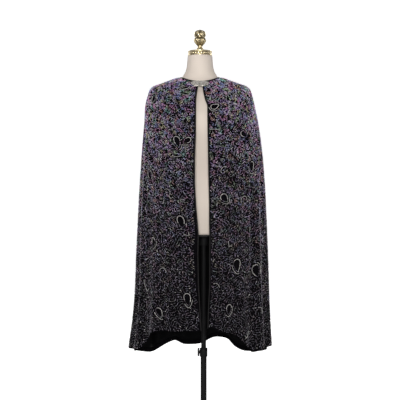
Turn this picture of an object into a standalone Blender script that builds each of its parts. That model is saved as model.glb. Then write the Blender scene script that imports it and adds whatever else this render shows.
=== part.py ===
"""Evening cape of beaded cloth, worn on a limbless dress form that stands on a round base.

Metres, +Z up. The origin is the middle of the base's underside, on the mast's axis.
The front faces -Y. Left and right are as seen from the front, so left is at -X.
An angle round the cape or the form is 0 at the front, 90 at +X and 180 at the back.
"""

import math
from collections import namedtuple

import bmesh
import bpy
from mathutils import Matrix, Vector

# Cloth
PANEL_THICKNESS = 0.0014
LINING_THICKNESS = 0.0009
GAP = 0.0003
SEAT_GAP = 0.0004
HEM_TURN = 0.020
BINDING_WIDTH = 0.0050
BINDING_PROUD = 0.0005
SECTION_POWER = 0.89
FRONT_COLUMNS = 18
BACK_COLUMNS = 28
SKIRT_STEPS = (0.0, 0.12, 0.27, 0.44, 0.61, 0.77, 0.90, 1.0)

# The form's axis lies to the left of the mast
FORM_X = -0.0155

# Rings of the cape from the neckline to below the shoulder tip
Shoulder = namedtuple("Shoulder", "half_width front back z_side z_front z_back")
SHOULDERS = (
    Shoulder(0.0860, 0.0760, 0.0680, 1.4460, 1.4190, 1.4520),
    Shoulder(0.1120, 0.0860, 0.0850, 1.4395, 1.4020, 1.4410),
    Shoulder(0.1400, 0.0985, 0.1000, 1.4290, 1.3830, 1.4240),
    Shoulder(0.1700, 0.1130, 0.1140, 1.4180, 1.3600, 1.4010),
    Shoulder(0.1970, 0.1270, 0.1260, 1.4085, 1.3345, 1.3740),
    Shoulder(0.2125, 0.1390, 0.1340, 1.3965, 1.3060, 1.3430),
    Shoulder(0.2220, 0.1480, 0.1390, 1.3740, 1.2740, 1.3100),
    Shoulder(0.2340, 0.1535, 0.1430, 1.3250, 1.2300, 1.2600),
)
SKIRT_TOP_SIDE = 1.262
SKIRT_TOP_FRONT = 1.175
SKIRT_TOP_BACK = 1.195

# The hanging part of the cape, by height
Hang = namedtuple("Hang", "z left right front back")
HANGING = (
    Hang(1.262, 0.2375, 0.2470, 0.1560, 0.1440),
    Hang(1.175, 0.2435, 0.2610, 0.1600, 0.1500),
    Hang(1.060, 0.2535, 0.2720, 0.1655, 0.1600),
    Hang(0.920, 0.2580, 0.2800, 0.1730, 0.1740),
    Hang(0.780, 0.2660, 0.2830, 0.1790, 0.1860),
    Hang(0.640, 0.2695, 0.2875, 0.1835, 0.1970),
    Hang(0.500, 0.2735, 0.2890, 0.1885, 0.2080),
    Hang(0.400, 0.2830, 0.2925, 0.1915, 0.2160),
    Hang(0.330, 0.2935, 0.2960, 0.1940, 0.2200),
    Hang(0.200, 0.3020, 0.2990, 0.1980, 0.2270),
)

# Height of the hem round the cape, which is higher in front and dips at the flutes
Hem = namedtuple("Hem", "angle z")
HEM = (
    Hem(-180, 0.268),
    Hem(-168, 0.262),
    Hem(-160, 0.290),
    Hem(-152, 0.280),
    Hem(-142, 0.238),
    Hem(-122, 0.248),
    Hem(-100, 0.272),
    Hem(-84, 0.288),
    Hem(-66, 0.290),
    Hem(-56, 0.292),
    Hem(-50, 0.332),
    Hem(-44, 0.366),
    Hem(-36, 0.378),
    Hem(-18, 0.380),
    Hem(0, 0.382),
    Hem(7, 0.402),
    Hem(15, 0.378),
    Hem(27, 0.364),
    Hem(37, 0.316),
    Hem(48, 0.292),
    Hem(66, 0.298),
    Hem(84, 0.300),
    Hem(102, 0.272),
    Hem(124, 0.246),
    Hem(142, 0.238),
    Hem(150, 0.262),
    Hem(156, 0.294),
    Hem(171, 0.300),
    Hem(180, 0.268),
)

# Folds that hang from the shoulders: a ridge has a positive depth and a trough a negative one
Fold = namedtuple("Fold", "top_angle hem_angle spread start_z depth")
FOLDS = (
    Fold(-84, -86, 6.5, 1.30, 0.010),
    Fold(-70, -73, 6.0, 1.24, -0.013),
    Fold(-62, -60, 6.0, 1.20, 0.016),
    Fold(-52, -49, 6.0, 1.05, -0.020),
    Fold(-41, -39, 5.5, 0.95, 0.014),
    Fold(-31, -30, 5.5, 0.80, -0.016),
    Fold(-19, -19, 5.5, 0.70, 0.009),
    Fold(18, 17, 5.5, 0.75, 0.008),
    Fold(27, 26, 5.0, 0.70, -0.009),
    Fold(36, 34, 5.5, 0.85, 0.011),
    Fold(46, 44, 5.5, 1.10, -0.018),
    Fold(56, 56, 6.5, 1.22, 0.018),
    Fold(67, 69, 6.0, 1.22, -0.016),
    Fold(80, 83, 6.5, 1.28, 0.012),
    Fold(101, 99, 6.5, 1.22, -0.014),
    Fold(113, 112, 6.5, 1.12, 0.018),
    Fold(126, 125, 6.5, 1.05, -0.021),
    Fold(138, 138, 6.0, 0.98, 0.019),
    Fold(150, 152, 6.5, 0.92, -0.017),
    Fold(164, 165, 6.0, 1.02, 0.015),
    Fold(177, 178, 6.5, 0.90, -0.012),
    Fold(-168, -167, 6.0, 0.96, 0.017),
    Fold(-155, -154, 6.5, 1.02, -0.020),
    Fold(-143, -142, 6.5, 1.10, 0.018),
    Fold(-130, -130, 6.0, 0.94, -0.015),
    Fold(-118, -118, 6.5, 1.08, 0.019),
    Fold(-104, -104, 6.5, 1.20, -0.016),
)
FOLD_FULL_Z = 0.27
FOLD_GROWTH = 1.25

# The front opening, by height: where the two finished edges lie
Edge = namedtuple("Edge", "z left right")
FRONT_EDGES = (
    Edge(1.419, -0.0026, 0.0004),
    Edge(1.395, -0.0085, 0.0105),
    Edge(1.375, -0.0120, 0.0130),
    Edge(1.340, -0.0160, 0.0205),
    Edge(1.315, -0.0165, 0.0300),
    Edge(1.200, -0.0165, 0.0310),
    Edge(1.090, -0.0205, 0.0330),
    Edge(0.990, -0.0205, 0.0350),
    Edge(0.899, -0.0155, 0.0370),
    Edge(0.830, -0.0095, 0.0370),
    Edge(0.774, -0.0045, 0.0380),
    Edge(0.700, -0.0065, 0.0380),
    Edge(0.570, -0.0040, 0.0380),
    Edge(0.490, 0.0010, 0.0330),
    Edge(0.420, 0.0040, 0.0310),
    Edge(0.370, 0.0080, 0.0300),
)

# The clasp: half height of each half's outline, by the distance from the front opening
Leaf = namedtuple("Leaf", "reach half_height")
CLASP_LEAF = (
    Leaf(0.0000, 0.0125),
    Leaf(0.0045, 0.0150),
    Leaf(0.0105, 0.0165),
    Leaf(0.0180, 0.0155),
    Leaf(0.0260, 0.0122),
    Leaf(0.0330, 0.0078),
    Leaf(0.0375, 0.0030),
)
CLASP_MIDDLE_ROW = 0.62
CLASP_EDGE_THICKNESS = 0.0026
CLASP_CROWN = 0.0030
CLASP_SPLIT = 0.0003
CLASP_X = -0.0008
CLASP_WIDEST = 0.0165
CLASP_SPREAD = (-1.0, -0.6, 0.0, 0.6, 1.0)

# The form's body below the shoulders and above them
Ring = namedtuple("Ring", "half_width front back z_side z_front z_back")
FORM_TORSO = (
    Ring(0.1560, 0.0970, 0.1060, 0.7740, 0.7740, 0.7740),
    Ring(0.1660, 0.1050, 0.1180, 0.7860, 0.7860, 0.7860),
    Ring(0.1750, 0.1130, 0.1280, 0.8400, 0.8400, 0.8400),
    Ring(0.1760, 0.1160, 0.1300, 0.9000, 0.9000, 0.9000),
    Ring(0.1600, 0.1120, 0.1170, 0.9800, 0.9800, 0.9800),
    Ring(0.1270, 0.0980, 0.0880, 1.0700, 1.0700, 1.0700),
    Ring(0.1320, 0.1070, 0.0920, 1.1450, 1.1450, 1.1450),
    Ring(0.1480, 0.1300, 0.1030, 1.2150, 1.2150, 1.2150),
    Ring(0.1600, 0.1300, 0.1120, 1.2750, 1.2650, 1.2750),
    Ring(0.1760, 0.1140, 0.1160, 1.3250, 1.3100, 1.3250),
    Ring(0.1960, 0.0940, 0.1080, 1.3700, 1.3500, 1.3650),
    Ring(0.2020, 0.0810, 0.0970, 1.3960, 1.3740, 1.3880),
)
Crest = namedtuple("Crest", "cape_row deeper front back z_front z_back")
FORM_CRESTS = (
    Crest(4, 0.0, 0.0720, 0.0860, 1.3850, 1.3990),
    Crest(3, 0.0, 0.0650, 0.0760, 1.3990, 1.4130),
    Crest(2, 0.0, 0.0600, 0.0680, 1.4110, 1.4260),
    Crest(1, 0.0, 0.0570, 0.0620, 1.4230, 1.4370),
    Crest(0, BINDING_PROUD, 0.0560, 0.0590, 1.4330, 1.4440),
    Crest(-0.25, BINDING_PROUD, 0.0555, 0.0580, 1.4380, 1.4470),
)
FORM_NECK = (
    Ring(0.0700, 0.0555, 0.0570, 1.4590, 1.4510, 1.4590),
    Ring(0.0634, 0.0560, 0.0570, 1.4700, 1.4650, 1.4710),
    Ring(0.0602, 0.0563, 0.0568, 1.4800, 1.4770, 1.4805),
    Ring(0.0568, 0.0560, 0.0562, 1.4960, 1.4950, 1.4960),
    Ring(0.0546, 0.0546, 0.0546, 1.5200, 1.5200, 1.5200),
    Ring(0.0534, 0.0534, 0.0534, 1.5350, 1.5350, 1.5350),
    Ring(0.0518, 0.0518, 0.0518, 1.5385, 1.5385, 1.5385),
)
FORM_COLUMNS = 28
PLATE_INSET = 0.012
PLATE_TOP = 0.7737
PLATE_BOTTOM = 0.7660

# Turned pieces, as radius and height
Turn = namedtuple("Turn", "radius z")
CAP_PROFILE = (
    Turn(0.0508, 1.5388),
    Turn(0.0524, 1.5400),
    Turn(0.0524, 1.5420),
    Turn(0.0504, 1.5432),
    Turn(0.0500, 1.5535),
    Turn(0.0510, 1.5548),
    Turn(0.0520, 1.5568),
    Turn(0.0514, 1.5586),
    Turn(0.0486, 1.5597),
    Turn(0.0200, 1.5612),
)
FINIAL_PROFILE = (
    Turn(0.0160, 1.5615),
    Turn(0.0170, 1.5645),
    Turn(0.0148, 1.5695),
    Turn(0.0108, 1.5760),
    Turn(0.0108, 1.5810),
    Turn(0.0165, 1.5905),
    Turn(0.0236, 1.6010),
    Turn(0.0256, 1.6080),
    Turn(0.0230, 1.6150),
    Turn(0.0206, 1.6190),
    Turn(0.0230, 1.6235),
    Turn(0.0248, 1.6310),
    Turn(0.0228, 1.6400),
    Turn(0.0165, 1.6468),
    Turn(0.0070, 1.6505),
)
FINIAL_LOBES = 8
FINIAL_LOBE_DEPTH = 0.0016
FINIAL_TIP_Z = 1.6530
CAP_COLUMNS = 32
FINIAL_COLUMNS = 24

# Stand
MAST_RADIUS = 0.0105
MAST_BORE = 0.0085
MAST_FOOT = 0.0450
MAST_HEAD = 0.7657
RUNNING_GAP = 0.0003
TUBE_RADIUS = 0.0130
TUBE_FOOT = 0.0086
TUBE_HEAD = 0.2620
SOCKET_RADIUS = 0.0200
SOCKET_FLANGE = 0.0420
SOCKET_FLANGE_THICKNESS = 0.0050
SOCKET_FOOT = 0.7250
COLLAR_RADIUS = 0.0165
COLLAR_FOOT = 0.2480
COLLAR_HEAD = 0.2840
COLLAR_EDGE = 0.0015
LUG_RADIUS = 0.0085
LUG_REACH = 0.0182
LUG_ROOT = 0.0020
LUG_COLUMNS = 20
SCREW_RADIUS = 0.0040
SCREW_TIP = 0.0110
SCREW_Z = 0.2665
SCREW_COLUMNS = 16
KNOB_RADIUS = 0.0175
KNOB_LOBE = 0.0014
KNOB_LOBES = 6
KNOB_NEAR = 0.0187
KNOB_FAR = 0.0262
KNOB_EDGE = 0.0015
ROUND_COLUMNS = 24
BASE_COLUMNS = 48

# The base from its underside over its rim and boss down to the tube's seat
BASE_PROFILE = (
    Turn(0.1540, 0.0),
    Turn(0.1550, 0.0010),
    Turn(0.1550, 0.0040),
    Turn(0.1520, 0.0068),
    Turn(0.1430, 0.0083),
    Turn(0.0300, 0.0095),
    Turn(0.0240, 0.0120),
    Turn(0.0220, 0.0155),
    Turn(0.0220, 0.0305),
    Turn(0.0205, 0.0320),
    Turn(TUBE_RADIUS + GAP, 0.0320),
    Turn(TUBE_RADIUS + GAP, 0.0083),
)

# Steps by which slopes and places on the cape are found
SLOPE_ANGLE = 1.5
SLOPE_ROWS = 0.5
SEARCH_START = 4.0
SEARCH_ROUNDS = 12
SMOOTH_ANGLE = 40.0

# Colours: red, green, blue, roughness, metallic
Finish = namedtuple("Finish", "red green blue roughness metallic")
BEADED_CLOTH = Finish(0.045, 0.038, 0.052, 0.45, 0.0)
SATIN_LINING = Finish(0.004, 0.004, 0.006, 0.38, 0.0)
BLACK_BINDING = Finish(0.008, 0.007, 0.009, 0.50, 0.0)
CRYSTAL_METAL = Finish(0.55, 0.51, 0.46, 0.22, 0.9)
CREAM_JERSEY = Finish(0.68, 0.58, 0.49, 0.85, 0.0)
POLISHED_GOLD = Finish(0.78, 0.60, 0.27, 0.22, 1.0)
BLACK_METAL = Finish(0.012, 0.012, 0.013, 0.45, 0.4)
BLACK_PLASTIC = Finish(0.010, 0.010, 0.011, 0.50, 0.0)


def clear_scene():
    for thing in list(bpy.data.objects):
        bpy.data.objects.remove(thing, do_unlink=True)


def make_material(name, finish):
    material = bpy.data.materials.new(name)
    material.use_nodes = True
    shader = material.node_tree.nodes["Principled BSDF"]
    shader.inputs["Base Color"].default_value = (finish.red, finish.green, finish.blue, 1.0)
    shader.inputs["Roughness"].default_value = finish.roughness
    shader.inputs["Metallic"].default_value = finish.metallic
    return material


def add_object(name, bm, finish):
    """Turn a finished bmesh into a named object, shaded smooth but for its sharp edges."""
    mesh = bpy.data.meshes.new(name)
    bm.to_mesh(mesh)
    bm.free()
    mesh.shade_smooth()
    mesh.set_sharp_from_angle(angle=math.radians(SMOOTH_ANGLE))
    mesh.materials.append(make_material(name, finish))
    thing = bpy.data.objects.new(name, mesh)
    bpy.context.scene.collection.objects.link(thing)
    return thing


def read_table(rows, key, column):
    """A column's value at key, on straight lines between rows in rising or falling order."""
    ordered = sorted(rows, key=lambda row: row[0])
    if key <= ordered[0][0]:
        return getattr(ordered[0], column)
    for low, high in zip(ordered, ordered[1:]):
        if key <= high[0]:
            share = (key - low[0]) / (high[0] - low[0])
            return getattr(low, column) * (1 - share) + getattr(high, column) * share
    return getattr(ordered[-1], column)


def signed_power(value, power):
    return math.copysign(abs(value) ** power, value)


def turn_back(angle):
    """An angle between -180 and 180 degrees."""
    return (angle + 180.0) % 360.0 - 180.0


def height_round(angle, side, front, back):
    """Height on a ring that is tilted to the front and the back."""
    lean = math.cos(math.radians(angle))
    end = front if lean > 0 else back
    return side + (end - side) * lean * lean


def section_point(angle, left, right, front, back, power):
    """A point of a level section, from its reach to each side, the front and the back."""
    across = math.sin(math.radians(angle))
    along = math.cos(math.radians(angle))
    half_width = right if across > 0 else left
    depth = front if along > 0 else back
    return half_width * signed_power(across, power), -depth * signed_power(along, power)


def fold_depth(angle, z):
    """How far the folds push the cloth out at this angle and height."""
    total = 0.0
    for fold in FOLDS:
        if z >= fold.start_z:
            continue
        share = min((fold.start_z - z) / (fold.start_z - FOLD_FULL_Z), 1.15)
        middle = fold.top_angle + (fold.hem_angle - fold.top_angle) * share
        away = turn_back(angle - middle) / fold.spread
        total += fold.depth * share**FOLD_GROWTH * math.exp(-away * away)
    return total


def hanging_point(angle, z):
    left, right, front, back = (read_table(HANGING, z, name) for name in Hang._fields[1:])
    x, y = section_point(angle, left, right, front, back, SECTION_POWER)
    out = Vector((x / ((left + right) / 2) ** 2, y / ((front + back) / 2) ** 2, 0)).normalized()
    return Vector((x, y, z)) + out * fold_depth(angle, z)


ROW_COUNT = len(SHOULDERS) + len(SKIRT_STEPS) + 1
HEM_ROW = ROW_COUNT - 1
LINING_ROW = ROW_COUNT - 2


def row_point(angle, row):
    """A point of the cape's outer face on a whole row, before the form's place is added."""
    if row < len(SHOULDERS):
        ring = SHOULDERS[row]
        z = height_round(angle, ring.z_side, ring.z_front, ring.z_back)
        x, y = section_point(
            angle, ring.half_width, ring.half_width, ring.front, ring.back, SECTION_POWER
        )
        return Vector((x, y, z))
    hem = read_table(HEM, turn_back(angle), "z")
    if row == HEM_ROW:
        return hanging_point(angle, hem)
    top = height_round(angle, SKIRT_TOP_SIDE, SKIRT_TOP_FRONT, SKIRT_TOP_BACK)
    step = SKIRT_STEPS[row - len(SHOULDERS)]
    return hanging_point(angle, top + (hem + HEM_TURN - top) * step)


def cape_point(angle, row):
    """A point of the cape's outer face, on a straight line between two rows."""
    low = max(0, min(int(math.floor(row)), HEM_ROW - 1))
    share = row - low
    point = row_point(angle, low) * (1 - share) + row_point(angle, low + 1) * share
    return point + Vector((FORM_X, 0, 0))


def cape_normal(angle, row):
    """The direction out of the cape's outer face."""
    around = cape_point(angle + SLOPE_ANGLE, row) - cape_point(angle - SLOPE_ANGLE, row)
    down = cape_point(angle, row + SLOPE_ROWS) - cape_point(angle, row - SLOPE_ROWS)
    return down.cross(around).normalized()


def edge_angle(row, side, inset):
    """The angle at which a front panel ends, inset from the finished edge of the opening."""
    column = "right" if side > 0 else "left"
    angle = SEARCH_START * side
    for _ in range(SEARCH_ROUNDS):
        point = cape_point(angle, row) - Vector((FORM_X, 0, 0))
        target = read_table(FRONT_EDGES, point.z, column) + side * inset
        reach = cape_point(angle + 1.0, row).x - cape_point(angle, row).x
        angle += (target - point.x) / reach
    return angle


def closed_wall(outer, inner):
    """A wall between two grids of points, closed round its four edges, all in triangles."""
    bm = bmesh.new()
    faces = [[[bm.verts.new(point) for point in row] for row in grid] for grid in (outer, inner)]

    def quad(a, b, c, d):
        bm.faces.new((a, b, c))
        bm.faces.new((a, c, d))

    rows, columns = len(outer), len(outer[0])
    front, back = faces
    for i in range(rows - 1):
        for j in range(columns - 1):
            quad(front[i][j], front[i + 1][j], front[i + 1][j + 1], front[i][j + 1])
            quad(back[i][j], back[i][j + 1], back[i + 1][j + 1], back[i + 1][j])
    for j in range(columns - 1):
        quad(front[0][j], front[0][j + 1], back[0][j + 1], back[0][j])
        quad(front[-1][j + 1], front[-1][j], back[-1][j], back[-1][j + 1])
    for i in range(rows - 1):
        quad(front[i + 1][0], front[i][0], back[i][0], back[i + 1][0])
        quad(front[i][-1], front[i + 1][-1], back[i + 1][-1], back[i][-1])
    bmesh.ops.recalc_face_normals(bm, faces=bm.faces)
    return bm


def panel_angles(piece, row):
    """The angles of one panel's points on a row, running towards +X seen from outside."""
    if piece == "back":
        first, last, columns = 90.0, 270.0, BACK_COLUMNS
        slip = math.degrees(GAP / 2 / seam_depth(row, "back"))
        first, last = first + slip, last - slip
    else:
        side = 1 if piece == "front_right" else -1
        edge = edge_angle(row, side, BINDING_WIDTH + GAP)
        slip = math.degrees(GAP / 2 / seam_depth(row, "front"))
        seam = side * (90.0 - slip)
        first, last, columns = min(edge, seam), max(edge, seam), FRONT_COLUMNS
    return [first + (last - first) * j / columns for j in range(columns + 1)]


def seam_depth(row, facing):
    """The section's depth at a row, which turns a gap at the side seam into an angle."""
    if row < len(SHOULDERS):
        return getattr(SHOULDERS[row], facing)
    return read_table(HANGING, row_point(90.0, row).z, facing)


def panel_grid(piece, last_row, depth):
    """Points of a panel, moved in by a depth, a row for each ring down to last_row."""
    return [
        [cape_point(a, row) - cape_normal(a, row) * depth for a in panel_angles(piece, row)]
        for row in range(last_row + 1)
    ]


def make_cape():
    for piece in ("front_left", "front_right", "back"):
        outer = panel_grid(piece, HEM_ROW, 0.0)
        inner = panel_grid(piece, HEM_ROW, PANEL_THICKNESS)
        add_object("cape_" + piece, closed_wall(outer, inner), BEADED_CLOTH)
        start = PANEL_THICKNESS + GAP
        outer = panel_grid(piece, LINING_ROW, start)
        inner = panel_grid(piece, LINING_ROW, start + LINING_THICKNESS)
        add_object("lining_" + piece, closed_wall(outer, inner), SATIN_LINING)


CLOTH_STACK = PANEL_THICKNESS + GAP + LINING_THICKNESS


def binding_rows(stations, proud):
    """Two points at each station: near the panel's edge and at the binding's free edge."""
    rows = []
    for angle, row, along in stations:
        place = cape_point(angle, row) + cape_normal(angle, row) * proud
        rows.append([place + along * GAP, place + along * (GAP + BINDING_WIDTH)])
    return rows


def make_bindings():
    lowest = -(CLOTH_STACK + BINDING_PROUD)
    for side, name in ((-1, "left"), (1, "right")):
        stations = []
        for row in range(HEM_ROW + 1):
            angle = edge_angle(row, side, BINDING_WIDTH + GAP)
            along = (cape_point(angle - side * 1.0, row) - cape_point(angle, row)).normalized()
            stations.append((angle, row, along))
        wall = closed_wall(binding_rows(stations, BINDING_PROUD), binding_rows(stations, lowest))
        add_object("front_binding_" + name, wall, BLACK_BINDING)
    left = panel_angles("front_left", 0)
    right = panel_angles("front_right", 0)
    angles = [edge_angle(0, 1, 0.0)] + right + panel_angles("back", 0)
    angles += [angle + 360.0 for angle in left] + [edge_angle(0, -1, 0.0) + 360.0]
    stations = []
    for angle in angles:
        up = (cape_point(angle, 0) - cape_point(angle, 0.5)).normalized()
        stations.append((angle, 0, up))
    wall = closed_wall(binding_rows(stations, BINDING_PROUD), binding_rows(stations, lowest))
    add_object("neck_binding", wall, BLACK_BINDING)


def angle_at_x(x, row):
    """The angle near the front at which a row lies at x, counted from the form's axis."""
    angle = math.copysign(SEARCH_START, x)
    for _ in range(SEARCH_ROUNDS):
        reach = cape_point(angle + 1.0, row).x - cape_point(angle, row).x
        angle += (x + FORM_X - cape_point(angle, row).x) / reach
    return angle


def make_clasp():
    """Two leaf-shaped halves that lie on the front panels and meet at the opening."""
    for side, name in ((-1, "left"), (1, "right")):
        outer, inner = [], []
        for leaf in CLASP_LEAF:
            reach = side * (leaf.reach + CLASP_SPLIT)
            front_row, back_row = [], []
            for share in CLASP_SPREAD:
                rows_per_metre = 1.0 / (cape_point(0, 0) - cape_point(0, 1)).length
                row = CLASP_MIDDLE_ROW + share * leaf.half_height * rows_per_metre
                angle = angle_at_x(CLASP_X + reach, row)
                place, out = cape_point(angle, row), cape_normal(angle, row)
                crown = CLASP_CROWN * (1 - share * share) * leaf.half_height / CLASP_WIDEST
                back_row.append(place + out * (BINDING_PROUD + GAP))
                front_row.append(place + out * (BINDING_PROUD + GAP + CLASP_EDGE_THICKNESS + crown))
            outer.append(front_row)
            inner.append(back_row)
        add_object("clasp_" + name, closed_wall(outer, inner), CRYSTAL_METAL)


def form_ring(ring):
    points = []
    for column in range(FORM_COLUMNS):
        angle = 360.0 * column / FORM_COLUMNS
        x, y = section_point(angle, ring.half_width, ring.half_width, ring.front, ring.back, 1.0)
        z = height_round(angle, ring.z_side, ring.z_front, ring.z_back)
        points.append(Vector((x + FORM_X, y, z)))
    return points


def stacked_rings(rings, tip=None):
    """A closed body through rings of points, capped at both ends or pointed at the last."""
    bm = bmesh.new()
    loops = [[bm.verts.new(point) for point in ring] for ring in rings]
    count = len(rings[0])
    for low, high in zip(loops, loops[1:]):
        for j in range(count):
            k = (j + 1) % count
            bm.faces.new((low[j], low[k], high[k], high[j]))
    bm.faces.new(loops[0][::-1])
    if tip is None:
        bm.faces.new(loops[-1])
    else:
        point = bm.verts.new(tip)
        for j in range(count):
            bm.faces.new((loops[-1][j], loops[-1][(j + 1) % count], point))
    bmesh.ops.recalc_face_normals(bm, faces=bm.faces)
    return bm


def make_form():
    """Torso and neck in one piece. Its shoulders carry the cape along their crests."""
    crests = []
    for crest in FORM_CRESTS:
        inset = CLOTH_STACK + SEAT_GAP + crest.deeper
        seat = cape_point(90.0, crest.cape_row) - cape_normal(90.0, crest.cape_row) * inset
        crests.append(
            Ring(seat.x - FORM_X, crest.front, crest.back, seat.z, crest.z_front, crest.z_back)
        )
    rings = [form_ring(ring) for ring in FORM_TORSO + tuple(crests) + FORM_NECK]
    add_object("form_body", stacked_rings(rings), CREAM_JERSEY)
    bottom = FORM_TORSO[0]
    plate = Ring(
        bottom.half_width - PLATE_INSET,
        bottom.front - PLATE_INSET,
        bottom.back - PLATE_INSET,
        PLATE_BOTTOM,
        PLATE_BOTTOM,
        PLATE_BOTTOM,
    )
    low = form_ring(plate)
    high = [point + Vector((0, 0, PLATE_TOP - PLATE_BOTTOM)) for point in low]
    add_object("form_base_plate", stacked_rings([low, high]), BLACK_PLASTIC)


def turned(profile, columns, centre_x, lobes=0, lobe_depth=0.0):
    """Rings of points for a turned profile, with lobes round it where they are asked for."""
    rings = []
    for turn in profile:
        ring = []
        for column in range(columns):
            angle = math.tau * column / columns
            radius = turn.radius + lobe_depth * math.cos(lobes * angle)
            ring.append(
                Vector((centre_x + radius * math.sin(angle), -radius * math.cos(angle), turn.z))
            )
        rings.append(ring)
    return rings


def make_neck_top():
    add_object("neck_cap", stacked_rings(turned(CAP_PROFILE, CAP_COLUMNS, FORM_X)), POLISHED_GOLD)
    foot = FINIAL_PROFILE[:2]
    body = FINIAL_PROFILE[2:-1]
    rings = turned(foot, FINIAL_COLUMNS, FORM_X)
    rings += turned(body, FINIAL_COLUMNS, FORM_X, FINIAL_LOBES, FINIAL_LOBE_DEPTH)
    rings += turned(FINIAL_PROFILE[-1:], FINIAL_COLUMNS, FORM_X)
    tip = Vector((FORM_X, 0, FINIAL_TIP_Z))
    add_object("finial", stacked_rings(rings, tip), POLISHED_GOLD)


def turned_ring(profile, columns):
    """A body turned about the mast's axis from a closed outline that stays off the axis."""
    bm = bmesh.new()
    rings = turned(profile, columns, 0.0)
    loops = [[bm.verts.new(point) for point in ring] for ring in rings]
    for low, high in zip(loops, loops[1:] + loops[:1]):
        for j in range(columns):
            k = (j + 1) % columns
            bm.faces.new((low[j], low[k], high[k], high[j]))
    bmesh.ops.recalc_face_normals(bm, faces=bm.faces)
    return bm


def make_mast():
    outline = (
        Turn(MAST_RADIUS, MAST_FOOT),
        Turn(MAST_RADIUS, MAST_HEAD),
        Turn(MAST_BORE, MAST_HEAD),
        Turn(MAST_BORE, MAST_FOOT),
    )
    add_object("mast", turned_ring(outline, ROUND_COLUMNS), BLACK_METAL)


def make_socket():
    """The socket under the form, with a flange that its screws go through."""
    bore = MAST_RADIUS + RUNNING_GAP
    top = PLATE_BOTTOM - GAP
    outline = (
        Turn(SOCKET_RADIUS, SOCKET_FOOT),
        Turn(SOCKET_RADIUS, top - SOCKET_FLANGE_THICKNESS),
        Turn(SOCKET_FLANGE, top - SOCKET_FLANGE_THICKNESS),
        Turn(SOCKET_FLANGE, top),
        Turn(bore, top),
        Turn(bore, SOCKET_FOOT),
    )
    add_object("form_socket", turned_ring(outline, ROUND_COLUMNS), BLACK_METAL)


def make_lower_tube():
    bore = MAST_RADIUS + RUNNING_GAP
    outline = (
        Turn(TUBE_RADIUS, TUBE_FOOT),
        Turn(TUBE_RADIUS, TUBE_HEAD),
        Turn(bore, TUBE_HEAD),
        Turn(bore, TUBE_FOOT),
    )
    add_object("lower_tube", turned_ring(outline, ROUND_COLUMNS), BLACK_METAL)


def x_cylinder(radius, near, far, columns, z):
    """A cylinder along -X from near to far."""
    bm = bmesh.new()
    bmesh.ops.create_cone(
        bm, cap_ends=True, segments=columns, radius1=radius, radius2=radius, depth=far - near
    )
    turn = Matrix.Rotation(math.radians(90), 4, "Y")
    bmesh.ops.transform(bm, matrix=turn, verts=bm.verts)
    bmesh.ops.translate(bm, vec=(-(near + far) / 2, 0, z), verts=bm.verts)
    return bm


def add_boolean(thing, other, operation):
    cut = thing.modifiers.new(operation.title(), "BOOLEAN")
    cut.operation = operation
    cut.solver = "EXACT"
    cut.object = other
    other.hide_render = True
    other.display_type = "WIRE"


def make_collar():
    """The clamp collar on the lower tube's head, with a lug that its screw goes through."""
    sleeve_bore = TUBE_RADIUS + GAP
    mast_bore = MAST_RADIUS + RUNNING_GAP
    shoulder = TUBE_HEAD + GAP
    outline = (
        Turn(COLLAR_RADIUS - COLLAR_EDGE, COLLAR_FOOT),
        Turn(COLLAR_RADIUS, COLLAR_FOOT + COLLAR_EDGE),
        Turn(COLLAR_RADIUS, COLLAR_HEAD - COLLAR_EDGE),
        Turn(COLLAR_RADIUS - COLLAR_EDGE, COLLAR_HEAD),
        Turn(mast_bore, COLLAR_HEAD),
        Turn(mast_bore, shoulder),
        Turn(sleeve_bore, shoulder),
        Turn(sleeve_bore, COLLAR_FOOT),
    )
    collar = add_object("clamp_collar", turned_ring(outline, ROUND_COLUMNS), BLACK_METAL)
    lug = x_cylinder(LUG_RADIUS, COLLAR_RADIUS - LUG_ROOT, LUG_REACH, LUG_COLUMNS, SCREW_Z)
    add_boolean(collar, add_object("lug_form", lug, BLACK_METAL), "UNION")
    hole_radius = SCREW_RADIUS + GAP
    hole = x_cylinder(hole_radius, MAST_RADIUS, KNOB_FAR, SCREW_COLUMNS, SCREW_Z)
    add_boolean(collar, add_object("screw_hole", hole, BLACK_METAL), "DIFFERENCE")


def make_knob():
    """The clamp screw and its lobed knob, which turn about the screw's axis."""
    columns = KNOB_LOBES * 4
    stations = (
        (SCREW_TIP, SCREW_RADIUS, 0.0),
        (KNOB_NEAR, SCREW_RADIUS, 0.0),
        (KNOB_NEAR, KNOB_RADIUS - KNOB_EDGE, KNOB_LOBE),
        (KNOB_NEAR + KNOB_EDGE, KNOB_RADIUS, KNOB_LOBE),
        (KNOB_FAR - KNOB_EDGE, KNOB_RADIUS, KNOB_LOBE),
        (KNOB_FAR, KNOB_RADIUS - KNOB_EDGE, KNOB_LOBE),
    )
    rings = []
    for reach, radius, lobe in stations:
        ring = []
        for column in range(columns):
            angle = math.tau * column / columns
            size = radius + lobe * (math.cos(KNOB_LOBES * angle) - 1.0)
            ring.append(Vector((-reach, size * math.cos(angle), size * math.sin(angle))))
        rings.append(ring)
    knob = add_object("clamp_knob", stacked_rings(rings), BLACK_PLASTIC)
    knob.location = (0, 0, SCREW_Z)


def make_base():
    rings = turned(BASE_PROFILE, BASE_COLUMNS, 0.0)
    add_object("stand_base", stacked_rings(rings), BLACK_METAL)


def build():
    clear_scene()
    make_cape()
    make_bindings()
    make_clasp()
    make_form()
    make_neck_top()
    make_socket()
    make_mast()
    make_lower_tube()
    make_collar()
    make_knob()
    make_base()


build()
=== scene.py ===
"""An evening cape of beaded cloth on a limbless dress form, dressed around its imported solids.

Metres, +Z up, in the frame's own axes. The front faces -Y, and left is at -X, as seen from the front.
An angle round the cape or the form is 0 at the front, 90 at +X and 180 at the back.
"""

import math
from collections import namedtuple

import bmesh
import bpy
import numpy as np
from mathutils import Euler, Matrix, Vector


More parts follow.
